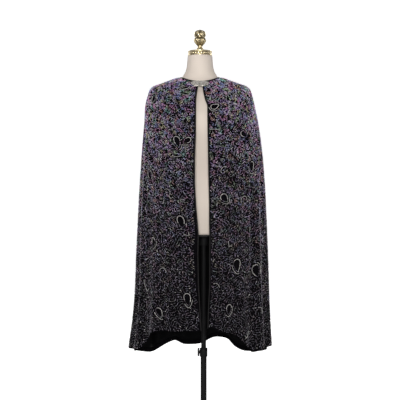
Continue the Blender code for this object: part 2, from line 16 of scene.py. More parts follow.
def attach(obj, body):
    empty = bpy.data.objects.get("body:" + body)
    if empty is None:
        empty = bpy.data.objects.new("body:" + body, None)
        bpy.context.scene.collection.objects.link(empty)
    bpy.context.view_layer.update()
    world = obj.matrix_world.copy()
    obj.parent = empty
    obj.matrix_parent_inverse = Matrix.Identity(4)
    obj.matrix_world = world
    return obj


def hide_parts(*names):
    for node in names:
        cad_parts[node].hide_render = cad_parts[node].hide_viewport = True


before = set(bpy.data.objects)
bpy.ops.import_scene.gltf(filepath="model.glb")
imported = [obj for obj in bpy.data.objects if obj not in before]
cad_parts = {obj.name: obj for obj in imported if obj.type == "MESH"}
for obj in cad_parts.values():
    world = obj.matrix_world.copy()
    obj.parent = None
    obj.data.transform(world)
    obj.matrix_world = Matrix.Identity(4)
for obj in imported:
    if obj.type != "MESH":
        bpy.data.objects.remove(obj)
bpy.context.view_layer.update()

# The photograph's frame: where its middle lies on the object, and how far the camera stands
FORM_X = -0.0155
PHOTO_PIXELS = 400
METRES_PER_PIXEL = 0.0043
FLOOR_ROW = 414
CAMERA_DISTANCE = 3.9
SENSOR = 36.0

# Cloth, as in the solids
PANEL_THICKNESS = 0.0012
LINING_INSET = 0.0021
LINING_THICKNESS = 0.0006
BINDING_WIDTH = 0.0053
BINDING_DEPTH = 0.0042
CLOTH_STACK = 0.0030
HEM_TURN = 0.020
SECTION_POWER = 0.89

Shoulder = namedtuple("Shoulder", "half_width front back z_side z_front z_back")
SHOULDERS = (
    Shoulder(0.0860, 0.0760, 0.0680, 1.4460, 1.4190, 1.4520),
    Shoulder(0.1120, 0.0860, 0.0850, 1.4395, 1.4020, 1.4410),
    Shoulder(0.1400, 0.0985, 0.1000, 1.4290, 1.3830, 1.4240),
    Shoulder(0.1700, 0.1130, 0.1140, 1.4180, 1.3600, 1.4010),
    Shoulder(0.1970, 0.1270, 0.1260, 1.4085, 1.3345, 1.3740),
    Shoulder(0.2125, 0.1390, 0.1340, 1.3965, 1.3060, 1.3430),
    Shoulder(0.2220, 0.1480, 0.1390, 1.3740, 1.2740, 1.3100),
    Shoulder(0.2340, 0.1535, 0.1430, 1.3250, 1.2300, 1.2600),
)
SKIRT_TOP = Shoulder(0.0, 0.0, 0.0, 1.262, 1.175, 1.195)
SKIRT_STEPS = (0.0, 0.12, 0.27, 0.44, 0.61, 0.77, 0.90, 1.0)

Hang = namedtuple("Hang", "z left right front back")
HANGING = (
    Hang(1.262, 0.2375, 0.2470, 0.1560, 0.1440),
    Hang(1.175, 0.2435, 0.2610, 0.1600, 0.1500),
    Hang(1.060, 0.2535, 0.2720, 0.1655, 0.1600),
    Hang(0.920, 0.2580, 0.2800, 0.1730, 0.1740),
    Hang(0.780, 0.2660, 0.2830, 0.1790, 0.1860),
    Hang(0.640, 0.2695, 0.2875, 0.1835, 0.1970),
    Hang(0.500, 0.2735, 0.2890, 0.1885, 0.2080),
    Hang(0.400, 0.2830, 0.2925, 0.1915, 0.2160),
    Hang(0.330, 0.2935, 0.2960, 0.1940, 0.2200),
    Hang(0.200, 0.3020, 0.2990, 0.1980, 0.2270),
)

Hem = namedtuple("Hem", "angle z")
HEM = (
    Hem(-180, 0.268),
    Hem(-168, 0.262),
    Hem(-160, 0.290),
    Hem(-152, 0.280),
    Hem(-142, 0.238),
    Hem(-122, 0.248),
    Hem(-100, 0.272),
    Hem(-84, 0.288),
    Hem(-66, 0.290),
    Hem(-56, 0.292),
    Hem(-50, 0.332),
    Hem(-44, 0.366),
    Hem(-36, 0.378),
    Hem(-18, 0.380),
    Hem(0, 0.382),
    Hem(7, 0.402),
    Hem(15, 0.378),
    Hem(27, 0.364),
    Hem(37, 0.316),
    Hem(48, 0.292),
    Hem(66, 0.298),
    Hem(84, 0.300),
    Hem(102, 0.272),
    Hem(124, 0.246),
    Hem(142, 0.238),
    Hem(150, 0.262),
    Hem(156, 0.294),
    Hem(171, 0.300),
    Hem(180, 0.268),
)
HEM_BLUR = 3.0

Fold = namedtuple("Fold", "top_angle hem_angle spread start_z depth")
FOLDS = (
    Fold(-84, -86, 6.5, 1.30, 0.010),
    Fold(-70, -73, 6.0, 1.24, -0.013),
    Fold(-62, -60, 6.0, 1.20, 0.016),
    Fold(-52, -49, 6.0, 1.05, -0.020),
    Fold(-41, -39, 5.5, 0.95, 0.014),
    Fold(-31, -30, 5.5, 0.80, -0.016),
    Fold(-19, -19, 5.5, 0.70, 0.009),
    Fold(18, 17, 5.5, 0.75, 0.008),
    Fold(27, 26, 5.0, 0.70, -0.009),
    Fold(36, 34, 5.5, 0.85, 0.011),
    Fold(46, 44, 5.5, 1.10, -0.018),
    Fold(56, 56, 6.5, 1.22, 0.018),
    Fold(67, 69, 6.0, 1.22, -0.016),
    Fold(80, 83, 6.5, 1.28, 0.012),
    Fold(101, 99, 6.5, 1.22, -0.014),
    Fold(113, 112, 6.5, 1.12, 0.018),
    Fold(126, 125, 6.5, 1.05, -0.021),
    Fold(138, 138, 6.0, 0.98, 0.019),
    Fold(150, 152, 6.5, 0.92, -0.017),
    Fold(164, 165, 6.0, 1.02, 0.015),
    Fold(177, 178, 6.5, 0.90, -0.012),
    Fold(-168, -167, 6.0, 0.96, 0.017),
    Fold(-155, -154, 6.5, 1.02, -0.020),
    Fold(-143, -142, 6.5, 1.10, 0.018),
    Fold(-130, -130, 6.0, 0.94, -0.015),
    Fold(-118, -118, 6.5, 1.08, 0.019),
    Fold(-104, -104, 6.5, 1.20, -0.016),
)
FOLD_FULL_Z = 0.27
FOLD_GROWTH = 1.25

# Softer creases over the folds: each is deepest half way between its ends
Crease = namedtuple("Crease", "top_angle low_angle spread top_z low_z depth")
CREASES = (
    Crease(48, 47.5, 2.3, 1.30, 0.33, -0.0100),
    Crease(43.5, 43, 2.6, 1.22, 0.36, 0.0050),
    Crease(-61, -58, 2.6, 1.28, 0.44, -0.0085),
    Crease(-66, -64, 2.6, 1.24, 0.50, 0.0045),
    Crease(-33, -31, 2.4, 0.86, 0.30, -0.0075),
    Crease(27, 26, 2.6, 0.88, 0.34, -0.0060),
    Crease(-78, -79, 3.0, 1.36, 0.95, 0.0030),
    Crease(-45, -36, 4.2, 1.20, 0.55, 0.0036),
    Crease(-24, -26, 3.6, 1.02, 0.42, -0.0032),
    Crease(-12, -14, 3.2, 0.80, 0.40, 0.0024),
    Crease(14, 20, 3.6, 1.10, 0.50, -0.0028),
    Crease(33, 29, 3.4, 0.98, 0.40, 0.0030),
    Crease(58, 52, 3.8, 1.34, 0.62, -0.0052),
    Crease(49, 46, 2.8, 1.28, 0.80, 0.0036),
    Crease(74, 76, 3.2, 1.35, 0.86, 0.0034),
    Crease(64, 62, 3.0, 1.05, 0.34, -0.0034),
    Crease(96, 92, 3.6, 1.32, 0.74, -0.0040),
    Crease(109, 106, 3.2, 1.26, 0.60, 0.0034),
    Crease(132, 131, 4.0, 1.22, 0.55, 0.0042),
    Crease(145, 143, 3.2, 1.12, 0.40, -0.0036),
    Crease(159, 158, 3.6, 1.20, 0.52, 0.0032),
    Crease(172, 170, 3.4, 1.02, 0.38, -0.0034),
    Crease(-174, -173, 3.8, 1.24, 0.60, 0.0036),
    Crease(-161, -160, 3.2, 1.10, 0.42, -0.0030),
    Crease(-149, -148, 3.6, 1.26, 0.66, 0.0040),
    Crease(-136, -136, 3.2, 1.04, 0.36, -0.0036),
    Crease(-124, -124, 3.8, 1.28, 0.72, 0.0036),
    Crease(-111, -110, 3.2, 1.20, 0.46, -0.0040),
    Crease(-97, -94, 3.4, 1.33, 0.84, 0.0036),
)

Edge = namedtuple("Edge", "z left right")
FRONT_EDGES = (
    Edge(1.419, -0.0026, 0.0004),
    Edge(1.395, -0.0085, 0.0105),
    Edge(1.375, -0.0120, 0.0130),
    Edge(1.340, -0.0160, 0.0205),
    Edge(1.315, -0.0165, 0.0300),
    Edge(1.200, -0.0165, 0.0310),
    Edge(1.090, -0.0205, 0.0330),
    Edge(0.990, -0.0205, 0.0350),
    Edge(0.899, -0.0155, 0.0370),
    Edge(0.830, -0.0095, 0.0370),
    Edge(0.774, -0.0045, 0.0380),
    Edge(0.700, -0.0065, 0.0380),
    Edge(0.570, -0.0040, 0.0380),
    Edge(0.490, 0.0010, 0.0330),
    Edge(0.420, 0.0040, 0.0310),
    Edge(0.370, 0.0080, 0.0300),
)

# Fine grids
SHELL_ROWS = 132
LINING_ROWS = 76
FRONT_SHELL_COLUMNS = 74
BACK_SHELL_COLUMNS = 150
BEAD_GRID = 0.0030
FRONT_BEAD_COLUMNS = 150
BACK_BEAD_COLUMNS = 310
BEAD_ROWS = 400

# Beadwork
LINE_SPACING = 0.0095
BEAD_STEP = 0.0040
BEAD_LENGTH = 0.0037
BEAD_WIDTH = 0.0031
BEAD_HEIGHT = 0.0019
SILVER_SCALE = 1.22
EDGE_MARGIN = 0.0042
NOISE_STEP = 0.003
NOISE_SIZE = 512


def table_arrays(rows):
    """A table's columns as arrays in rising order of its first column."""
    ordered = sorted(rows, key=lambda row: row[0])
    return {name: np.array([getattr(row, name) for row in ordered]) for name in rows[0]._fields}


HANG_TABLE = table_arrays(HANGING)
HEM_TABLE = table_arrays(HEM)
EDGE_TABLE = table_arrays(FRONT_EDGES)
HEM_ROW = len(SHOULDERS) + len(SKIRT_STEPS)


def turn_back(angle):
    return (angle + 180.0) % 360.0 - 180.0


def hem_height(angle):
    """The hem's height at an angle, with the table's corners rounded off."""
    parts = [np.interp(turn_back(angle + turn), HEM_TABLE["angle"], HEM_TABLE["z"])
             for turn in (-HEM_BLUR, 0.0, 0.0, HEM_BLUR)]
    return sum(parts) / 4.0


def height_round(angle, ring):
    lean = np.cos(np.radians(angle))
    end = np.where(lean > 0, ring.z_front, ring.z_back)
    return ring.z_side + (end - ring.z_side) * lean * lean


def section_point(angle, left, right, front, back):
    across, along = np.sin(np.radians(angle)), np.cos(np.radians(angle))
    half_width = np.where(across > 0, right, left)
    depth = np.where(along > 0, front, back)
    x = half_width * np.sign(across) * np.abs(across) ** SECTION_POWER
    y = -depth * np.sign(along) * np.abs(along) ** SECTION_POWER
    return x, y


def plain_row(row, angle):
    """The cape without its folds on one of the solids' rows, for an array of angles."""
    if row < len(SHOULDERS):
        ring = SHOULDERS[row]
        z = height_round(angle, ring)
        x, y = section_point(angle, ring.half_width, ring.half_width, ring.front, ring.back)
        return np.stack([x, y, z], -1)
    hem = hem_height(angle)
    if row == HEM_ROW:
        z = hem
    else:
        top = height_round(angle, SKIRT_TOP)
        z = top + (hem + HEM_TURN - top) * SKIRT_STEPS[row - len(SHOULDERS)]
    sizes = [np.interp(z, HANG_TABLE["z"], HANG_TABLE[name]) for name in Hang._fields[1:]]
    x, y = section_point(angle, *sizes)
    return np.stack([x, y, z], -1)


def row_lengths():
    """Mean distances between the solids' rows, which space the fine rows evenly."""
    angle = np.linspace(-180, 180, 49)
    places = np.stack([plain_row(row, angle) for row in range(HEM_ROW + 1)])
    return np.linalg.norm(np.diff(places, axis=0), axis=2).mean(1)


STEP_LENGTHS = row_lengths()
ROW_LENGTH = np.concatenate([[0.0], np.cumsum(STEP_LENGTHS)])
LINING_END = ROW_LENGTH[-2] / ROW_LENGTH[-1]


def smooth_step(value):
    value = np.clip(value, 0.0, 1.0)
    return value * value * (3.0 - 2.0 * value)


def fold_depth(angle, z):
    """How far folds and creases push the cloth out, for arrays of angles and heights."""
    total = np.zeros_like(angle)
    for fold in FOLDS:
        share = np.clip((fold.start_z - z) / (fold.start_z - FOLD_FULL_Z), 0.0, 1.15)
        middle = fold.top_angle + (fold.hem_angle - fold.top_angle) * share
        away = turn_back(angle - middle) / fold.spread
        total += fold.depth * share**FOLD_GROWTH * np.exp(-away * away)
    for crease in CREASES:
        share = (crease.top_z - z) / (crease.top_z - crease.low_z)
        middle = crease.top_angle + (crease.low_angle - crease.top_angle) * share
        away = turn_back(angle - middle) / crease.spread
        swell = np.sin(np.pi * np.clip(share, 0.0, 1.0)) ** 1.4
        total += crease.depth * swell * np.exp(-away * away)
    return total


def cape_surface(share, angle):
    """Points of the cape's outer face. share runs from 0 at the neckline to 1 at the hem."""
    length = share * ROW_LENGTH[-1]
    low = np.clip(np.searchsorted(ROW_LENGTH, length, side="right") - 1, 0, HEM_ROW - 1)
    points = np.zeros(angle.shape + (3,))
    for row in np.unique(low):
        pick = low == row
        here = angle[pick]
        start, end = plain_row(row, here), plain_row(row + 1, here)
        step = STEP_LENGTHS[row]
        slope_in = slope_out = (end - start) / step
        if row > 0:
            slope_in = (end - plain_row(row - 1, here)) / (step + STEP_LENGTHS[row - 1])
        if row < HEM_ROW - 1:
            slope_out = (plain_row(row + 2, here) - start) / (step + STEP_LENGTHS[row + 1])
        u = ((length[pick] - ROW_LENGTH[row]) / step)[:, None, None]
        points[pick] = (
            start * (2 * u**3 - 3 * u**2 + 1)
            + slope_in * step * (u**3 - 2 * u**2 + u)
            + end * (3 * u**2 - 2 * u**3)
            + slope_out * step * (u**3 - u**2)
        )
    widths = [np.interp(points[..., 2], HANG_TABLE["z"], HANG_TABLE[n]) for n in Hang._fields[1:]]
    out_x = points[..., 0] / ((widths[0] + widths[1]) / 2) ** 2
    out_y = points[..., 1] / ((widths[2] + widths[3]) / 2) ** 2
    reach = np.hypot(out_x, out_y)
    depth = fold_depth(angle, points[..., 2])
    points[..., 0] += out_x / reach * depth
    points[..., 1] += out_y / reach * depth
    points[..., 0] += FORM_X
    return points


def edge_angles(share, side, inset):
    """The angle at which a front panel ends on each row, inset from its finished edge."""
    column = "right" if side > 0 else "left"
    angle = np.full((len(share), 1), 4.0 * side)
    for _ in range(10):
        here = cape_surface(share, angle)
        reach = cape_surface(share, angle + 1.0)[..., 0] - here[..., 0]
        edge = np.interp(here[..., 2], EDGE_TABLE["z"], EDGE_TABLE[column])
        angle = angle + (edge + side * inset + FORM_X - here[..., 0]) / reach
    return angle[:, 0]


SEAM_SLIP = 0.06


def panel_angles(piece, share, columns):
    """Angles of a panel's grid, running from left to right as seen from outside."""
    along = np.linspace(0.0, 1.0, columns + 1)[None, :]
    if piece == "back":
        first = np.full((len(share), 1), 90.0 + SEAM_SLIP)
        last = np.full((len(share), 1), 270.0 - SEAM_SLIP)
    elif piece == "front_left":
        first = np.full((len(share), 1), -90.0 + SEAM_SLIP)
        last = edge_angles(share, -1, BINDING_WIDTH)[:, None]
    else:
        first = edge_angles(share, 1, BINDING_WIDTH)[:, None]
        last = np.full((len(share), 1), 90.0 - SEAM_SLIP)
    return first + (last - first) * along


def grid_normals(points):
    down = np.gradient(points, axis=0)
    across = np.gradient(points, axis=1)
    normal = np.cross(down, across)
    return normal / np.linalg.norm(normal, axis=2, keepdims=True)


def flat_places(points):
    """Each grid point's place on the flat cloth: across from the middle column, and down."""
    across = np.linalg.norm(np.diff(points, axis=1), axis=2)
    across = np.concatenate([np.zeros((len(points), 1)), np.cumsum(across, axis=1)], axis=1)
    middle = points.shape[1] // 2
    down = np.linalg.norm(np.diff(points, axis=0), axis=2)
    down = np.concatenate([np.zeros((1, points.shape[1])), np.cumsum(down, axis=0)], axis=0)
    return across - across[:, middle : middle + 1], down


def panel_surface(piece, columns, rows, end=1.0):
    share = np.linspace(0.0, end, rows + 1)
    points = cape_surface(share, panel_angles(piece, share, columns))
    return points, grid_normals(points)


def finish_mesh(name, bm, materials, smooth=True):
    """Turn a bmesh into an object at the origin with its materials."""
    mesh = bpy.data.meshes.new(name)
    bm.to_mesh(mesh)
    bm.free()
    if smooth:
        mesh.shade_smooth()
    for material in materials:
        mesh.materials.append(material)
    thing = bpy.data.objects.new(name, mesh)
    bpy.context.scene.collection.objects.link(thing)
    return thing


def sheet_from_grid(name, points, flat, thickness, material):
    """A sheet of cloth: a grid laid on the points, with its flat place as its UV map."""
    rows, columns = points.shape[0] - 1, points.shape[1] - 1
    bm = bmesh.new()
    bmesh.ops.create_grid(bm, x_segments=columns, y_segments=rows, size=1.0)
    bm.verts.ensure_lookup_table()
    places = points.reshape(-1, 3)
    across, down = flat[0].ravel(), flat[1].ravel()
    for vert, place in zip(bm.verts, places):
        vert.co = place
    uv = bm.loops.layers.uv.new("cloth")
    for face in bm.faces:
        for loop in face.loops:
            index = loop.vert.index
            loop[uv].uv = (across[index], -down[index])
    bm.normal_update()
    bm.faces.ensure_lookup_table()
    middle = bm.faces[len(bm.faces) // 2]
    outward = grid_normals(points).reshape(-1, 3)[middle.verts[0].index]
    if middle.normal.dot(Vector(outward)) < 0:
        bmesh.ops.reverse_faces(bm, faces=bm.faces)
    thing = finish_mesh(name, bm, [material])
    wall = thing.modifiers.new("Thickness", "SOLIDIFY")
    wall.thickness = thickness
    wall.offset = -1.0
    return thing


# Materials

def new_material(name):
    material = bpy.data.materials.new(name)
    material.use_nodes = True
    tree = material.node_tree
    return material, tree, tree.nodes["Principled BSDF"]


def add_node(tree, kind, **values):
    node = tree.nodes.new(kind)
    for key, value in values.items():
        setattr(node, key, value)
    return node


def add_group(tree, group, **values):
    node = tree.nodes.new("ShaderNodeGroup")
    node.node_tree = group
    for key, value in values.items():
        node.inputs[key.replace("_", " ")].default_value = value
    return node


def start_group(name, inputs, outputs):
    """An empty shader group with named number or vector inputs and outputs."""
    group = bpy.data.node_groups.new(name, "ShaderNodeTree")
    for socket, kind, value in inputs:
        made = group.interface.new_socket(socket, in_out="INPUT", socket_type=kind)
        if value is not None:
            made.default_value = value
    for socket, kind in outputs:
        group.interface.new_socket(socket, in_out="OUTPUT", socket_type=kind)
    return group, group.nodes.new("NodeGroupInput"), group.nodes.new("NodeGroupOutput")


def math_node(tree, operation, first, second=None):
    node = add_node(tree, "ShaderNodeMath", operation=operation)
    for index, value in enumerate((first, second)):
        if value is None:
            continue
        if isinstance(value, (int, float)):
            node.inputs[index].default_value = value
        else:
            tree.links.new(value, node.inputs[index])
    return node.outputs[0]


def make_weave_group():
    """Height of a plain weave whose threads run along X and Y."""
    group, inside, outside = start_group(
        "plain_weave",
        [("Vector", "NodeSocketVector", None), ("Threads", "NodeSocketFloat", 900.0)],
        [("Height", "NodeSocketFloat")],
    )
    split = add_node(group, "ShaderNodeSeparateXYZ")
    group.links.new(inside.outputs["Vector"], split.inputs[0])
    turns = math_node(group, "MULTIPLY", inside.outputs["Threads"], math.pi)
    warp = math_node(group, "SINE", math_node(group, "MULTIPLY", split.outputs["X"], turns))
    weft = math_node(group, "SINE", math_node(group, "MULTIPLY", split.outputs["Y"], turns))
    height = math_node(group, "ADD", math_node(group, "MULTIPLY", warp, weft), 1.0)
    group.links.new(math_node(group, "MULTIPLY", height, 0.5), outside.inputs["Height"])
    return group


def make_mottle_group():
    """A soft uneven mask between 0 and 1, for colour and gloss that vary over a surface."""
    group, inside, outside = start_group(
        "mottle",
        [
            ("Vector", "NodeSocketVector", None),
            ("Scale", "NodeSocketFloat", 20.0),
            ("Low", "NodeSocketFloat", 0.35),
            ("High", "NodeSocketFloat", 0.65),
        ],
        [("Mask", "NodeSocketFloat")],
    )
    noise = add_node(group, "ShaderNodeTexNoise")
    noise.inputs["Detail"].default_value = 4.0
    group.links.new(inside.outputs["Vector"], noise.inputs["Vector"])
    group.links.new(inside.outputs["Scale"], noise.inputs["Scale"])
    spread = add_node(group, "ShaderNodeMapRange")
    group.links.new(noise.outputs["Fac"], spread.inputs["Value"])
    group.links.new(inside.outputs["Low"], spread.inputs["From Min"])
    group.links.new(inside.outputs["High"], spread.inputs["From Max"])
    group.links.new(spread.outputs["Result"], outside.inputs["Mask"])
    return group


WEAVE = make_weave_group()
MOTTLE = make_mottle_group()


def colour_mix(tree, mask, low, high):
    """A colour between two, by a mask."""
    mix = add_node(tree, "ShaderNodeMix", data_type="RGBA")
    tree.links.new(mask, mix.inputs["Factor"])
    for socket, value in ((mix.inputs[6], low), (mix.inputs[7], high)):
        if isinstance(value, tuple):
            socket.default_value = value + (1.0,)
        else:
            tree.links.new(value, socket)
    return mix.outputs[2]


def value_between(tree, mask, low, high):
    spread = add_node(tree, "ShaderNodeMapRange")
    tree.links.new(mask, spread.inputs["Value"])
    spread.inputs["To Min"].default_value = low
    spread.inputs["To Max"].default_value = high
    return spread.outputs["Result"]


def add_bump(tree, shader, height, strength, distance, after=None):
    bump = add_node(tree, "ShaderNodeBump")
    bump.inputs["Strength"].default_value = strength
    bump.inputs["Distance"].default_value = distance
    tree.links.new(height, bump.inputs["Height"])
    if after is not None:
        tree.links.new(after, bump.inputs["Normal"])
    tree.links.new(bump.outputs["Normal"], shader.inputs["Normal"])
    return bump.outputs["Normal"]


def uv_vector(tree):
    node = add_node(tree, "ShaderNodeUVMap", uv_map="cloth")
    return node.outputs["UV"]


def object_vector(tree):
    return add_node(tree, "ShaderNodeTexCoord").outputs["Object"]


def make_ground_cloth():
    """The black cloth under the beads."""
    material, tree, shader = new_material("ground_cloth")
    mottle = add_group(tree, MOTTLE, Scale=55.0)
    tree.links.new(object_vector(tree), mottle.inputs["Vector"])
    colour = colour_mix(tree, mottle.outputs["Mask"], (0.0012, 0.0011, 0.0015), (0.0032, 0.0028, 0.0038))
    tree.links.new(colour, shader.inputs["Base Color"])
    shader.inputs["Roughness"].default_value = 0.9
    shader.inputs["Specular IOR Level"].default_value = 0.02
    weave = add_group(tree, WEAVE, Threads=760.0)
    tree.links.new(uv_vector(tree), weave.inputs["Vector"])
    add_bump(tree, shader, weave.outputs["Height"], 0.35, 0.0006)
    return material


def make_bead_glass():
    """Small cut beads, each with its own tint."""
    material, tree, shader = new_material("bead_glass")
    tint = add_node(tree, "ShaderNodeAttribute", attribute_name="tint")
    tree.links.new(tint.outputs["Color"], shader.inputs["Base Color"])
    mottle = add_group(tree, MOTTLE, Scale=240.0)
    tree.links.new(object_vector(tree), mottle.inputs["Vector"])
    tree.links.new(value_between(tree, mottle.outputs["Mask"], 0.16, 0.42), shader.inputs["Roughness"])
    shader.inputs["Metallic"].default_value = 0.25
    shader.inputs["Specular IOR Level"].default_value = 0.5
    return material


def make_satin():
    """The lining's black satin."""
    material, tree, shader = new_material("satin_lining")
    mottle = add_group(tree, MOTTLE, Scale=14.0)
    tree.links.new(object_vector(tree), mottle.inputs["Vector"])
    colour = colour_mix(tree, mottle.outputs["Mask"], (0.0010, 0.0010, 0.0014), (0.0024, 0.0024, 0.0030))
    tree.links.new(colour, shader.inputs["Base Color"])
    shader.inputs["Roughness"].default_value = 0.6
    shader.inputs["Specular IOR Level"].default_value = 0.05
    weave = add_group(tree, WEAVE, Threads=1400.0)
    tree.links.new(uv_vector(tree), weave.inputs["Vector"])
    add_bump(tree, shader, weave.outputs["Height"], 0.12, 0.0003)
    return material


def make_binding_cloth():
    material, tree, shader = new_material("binding_satin")
    mottle = add_group(tree, MOTTLE, Scale=90.0)
    tree.links.new(object_vector(tree), mottle.inputs["Vector"])
    colour = colour_mix(tree, mottle.outputs["Mask"], (0.0022, 0.0020, 0.0022), (0.0058, 0.0050, 0.0054))
    tree.links.new(colour, shader.inputs["Base Color"])
    shader.inputs["Roughness"].default_value = 0.55
    shader.inputs["Specular IOR Level"].default_value = 0.12
    noise = add_node(tree, "ShaderNodeTexNoise")
    noise.inputs["Scale"].default_value = 900.0
    tree.links.new(object_vector(tree), noise.inputs["Vector"])
    add_bump(tree, shader, noise.outputs["Fac"], 0.25, 0.0005)
    return material


def make_jersey():
    """The form's cream jersey cover, with fine vertical wales."""
    material, tree, shader = new_material("cream_jersey")
    place = object_vector(tree)
    mottle = add_group(tree, MOTTLE, Scale=7.0, Low=0.3, High=0.7)
    tree.links.new(place, mottle.inputs["Vector"])
    colour = colour_mix(tree, mottle.outputs["Mask"], (0.600, 0.525, 0.458), (0.638, 0.560, 0.490))
    tree.links.new(colour, shader.inputs["Base Color"])
    shader.inputs["Roughness"].default_value = 0.82
    shader.inputs["Specular IOR Level"].default_value = 0.3
    shader.inputs["Sheen Weight"].default_value = 0.12
    weave = add_group(tree, WEAVE, Threads=1100.0)
    tree.links.new(uv_vector(tree), weave.inputs["Vector"])
    add_bump(tree, shader, weave.outputs["Height"], 0.22, 0.0004)
    return material


def make_gold():
    """Polished gilt, with painted shade darkening the hollows of its relief."""
    material, tree, shader = new_material("polished_gold")
    relief_and_shade = add_node(tree, "ShaderNodeAttribute", attribute_name="relief_and_shade")
    mottle = add_group(tree, MOTTLE, Scale=160.0)
    tree.links.new(object_vector(tree), mottle.inputs["Vector"])
    bright = colour_mix(tree, mottle.outputs["Mask"], (0.66, 0.54, 0.32), (0.80, 0.69, 0.45))
    # Painted shade: the gilt turns dark brown in the hollows of its relief.
    colour = colour_mix(tree, relief_and_shade.outputs["Fac"], (0.10, 0.068, 0.028), bright)
    tree.links.new(colour, shader.inputs["Base Color"])
    shader.inputs["Metallic"].default_value = 1.0
    tree.links.new(value_between(tree, mottle.outputs["Mask"], 0.20, 0.36), shader.inputs["Roughness"])
    return material


def make_silver():
    material, tree, shader = new_material("clasp_metal")
    mottle = add_group(tree, MOTTLE, Scale=300.0)
    tree.links.new(object_vector(tree), mottle.inputs["Vector"])
    colour = colour_mix(tree, mottle.outputs["Mask"], (0.50, 0.46, 0.40), (0.72, 0.68, 0.60))
    tree.links.new(colour, shader.inputs["Base Color"])
    shader.inputs["Metallic"].default_value = 1.0
    tree.links.new(value_between(tree, mottle.outputs["Mask"], 0.20, 0.36), shader.inputs["Roughness"])
    return material


def make_crystal():
    """Cut stones on silver foil."""
    material, tree, shader = new_material("clasp_stones")
    mottle = add_group(tree, MOTTLE, Scale=420.0)
    tree.links.new(object_vector(tree), mottle.inputs["Vector"])
    colour = colour_mix(tree, mottle.outputs["Mask"], (0.62, 0.58, 0.54), (0.86, 0.83, 0.80))
    tree.links.new(colour, shader.inputs["Base Color"])
    shader.inputs["Metallic"].default_value = 0.55
    shader.inputs["Roughness"].default_value = 0.06
    shader.inputs["Coat Weight"].default_value = 1.0
    return material


def make_coated_metal(name, low, high, roughness_low, roughness_high, grain):
    """A powder coat or moulded plastic with a fine grain."""
    material, tree, shader = new_material(name)
    place = object_vector(tree)
    mottle = add_group(tree, MOTTLE, Scale=30.0)
    tree.links.new(place, mottle.inputs["Vector"])
    tree.links.new(colour_mix(tree, mottle.outputs["Mask"], low, high), shader.inputs["Base Color"])
    gloss = value_between(tree, mottle.outputs["Mask"], roughness_low, roughness_high)
    tree.links.new(gloss, shader.inputs["Roughness"])
    shader.inputs["Specular IOR Level"].default_value = 0.12
    noise = add_node(tree, "ShaderNodeTexNoise")
    noise.inputs["Scale"].default_value = grain
    tree.links.new(place, noise.inputs["Vector"])
    add_bump(tree, shader, noise.outputs["Fac"], 0.18, 0.0004)
    return material


GROUND_CLOTH = make_ground_cloth()
BEAD_GLASS = make_bead_glass()
SATIN = make_satin()
BINDING_SATIN = make_binding_cloth()
JERSEY = make_jersey()
GOLD = make_gold()
CLASP_METAL = make_silver()
CLASP_STONES = make_crystal()
POWDER_COAT = make_coated_metal("powder_coat", (0.0034, 0.0034, 0.0038), (0.0068, 0.0068, 0.0072), 0.58, 0.74, 700.0)
BLACK_PLASTIC = make_coated_metal("black_plastic", (0.0030, 0.0030, 0.0034), (0.0060, 0.0060, 0.0064), 0.42, 0.6, 500.0)


# Beadwork

def noise_field(seed, wavelength, band):
    """Seeded noise that repeats, made of waves near one length. It is sampled by places."""
    random = np.random.RandomState(seed)
    spectrum = np.fft.rfft2(random.standard_normal((NOISE_SIZE, NOISE_SIZE)))
    rise = np.fft.fftfreq(NOISE_SIZE, NOISE_STEP)[:, None]
    run = np.fft.rfftfreq(NOISE_SIZE, NOISE_STEP)[None, :]
    waves = np.hypot(rise, run) * wavelength
    field = np.fft.irfft2(spectrum * np.exp(-(((waves - 1.0) / band) ** 2)), (NOISE_SIZE, NOISE_SIZE))
    return field / field.std()


def sample_field(field, across, down):
    """The field's value at flat places, read between its points."""
    column, row = across / NOISE_STEP, down / NOISE_STEP
    left, top = np.floor(column).astype(int), np.floor(row).astype(int)
    u, v = column - left, row - top
    left, top = left % NOISE_SIZE, top % NOISE_SIZE
    right, low = (left + 1) % NOISE_SIZE, (top + 1) % NOISE_SIZE
    upper = field[top, left] * (1 - u) + field[top, right] * u
    lower = field[low, left] * (1 - u) + field[low, right] * u
    return upper * (1 - v) + lower * v


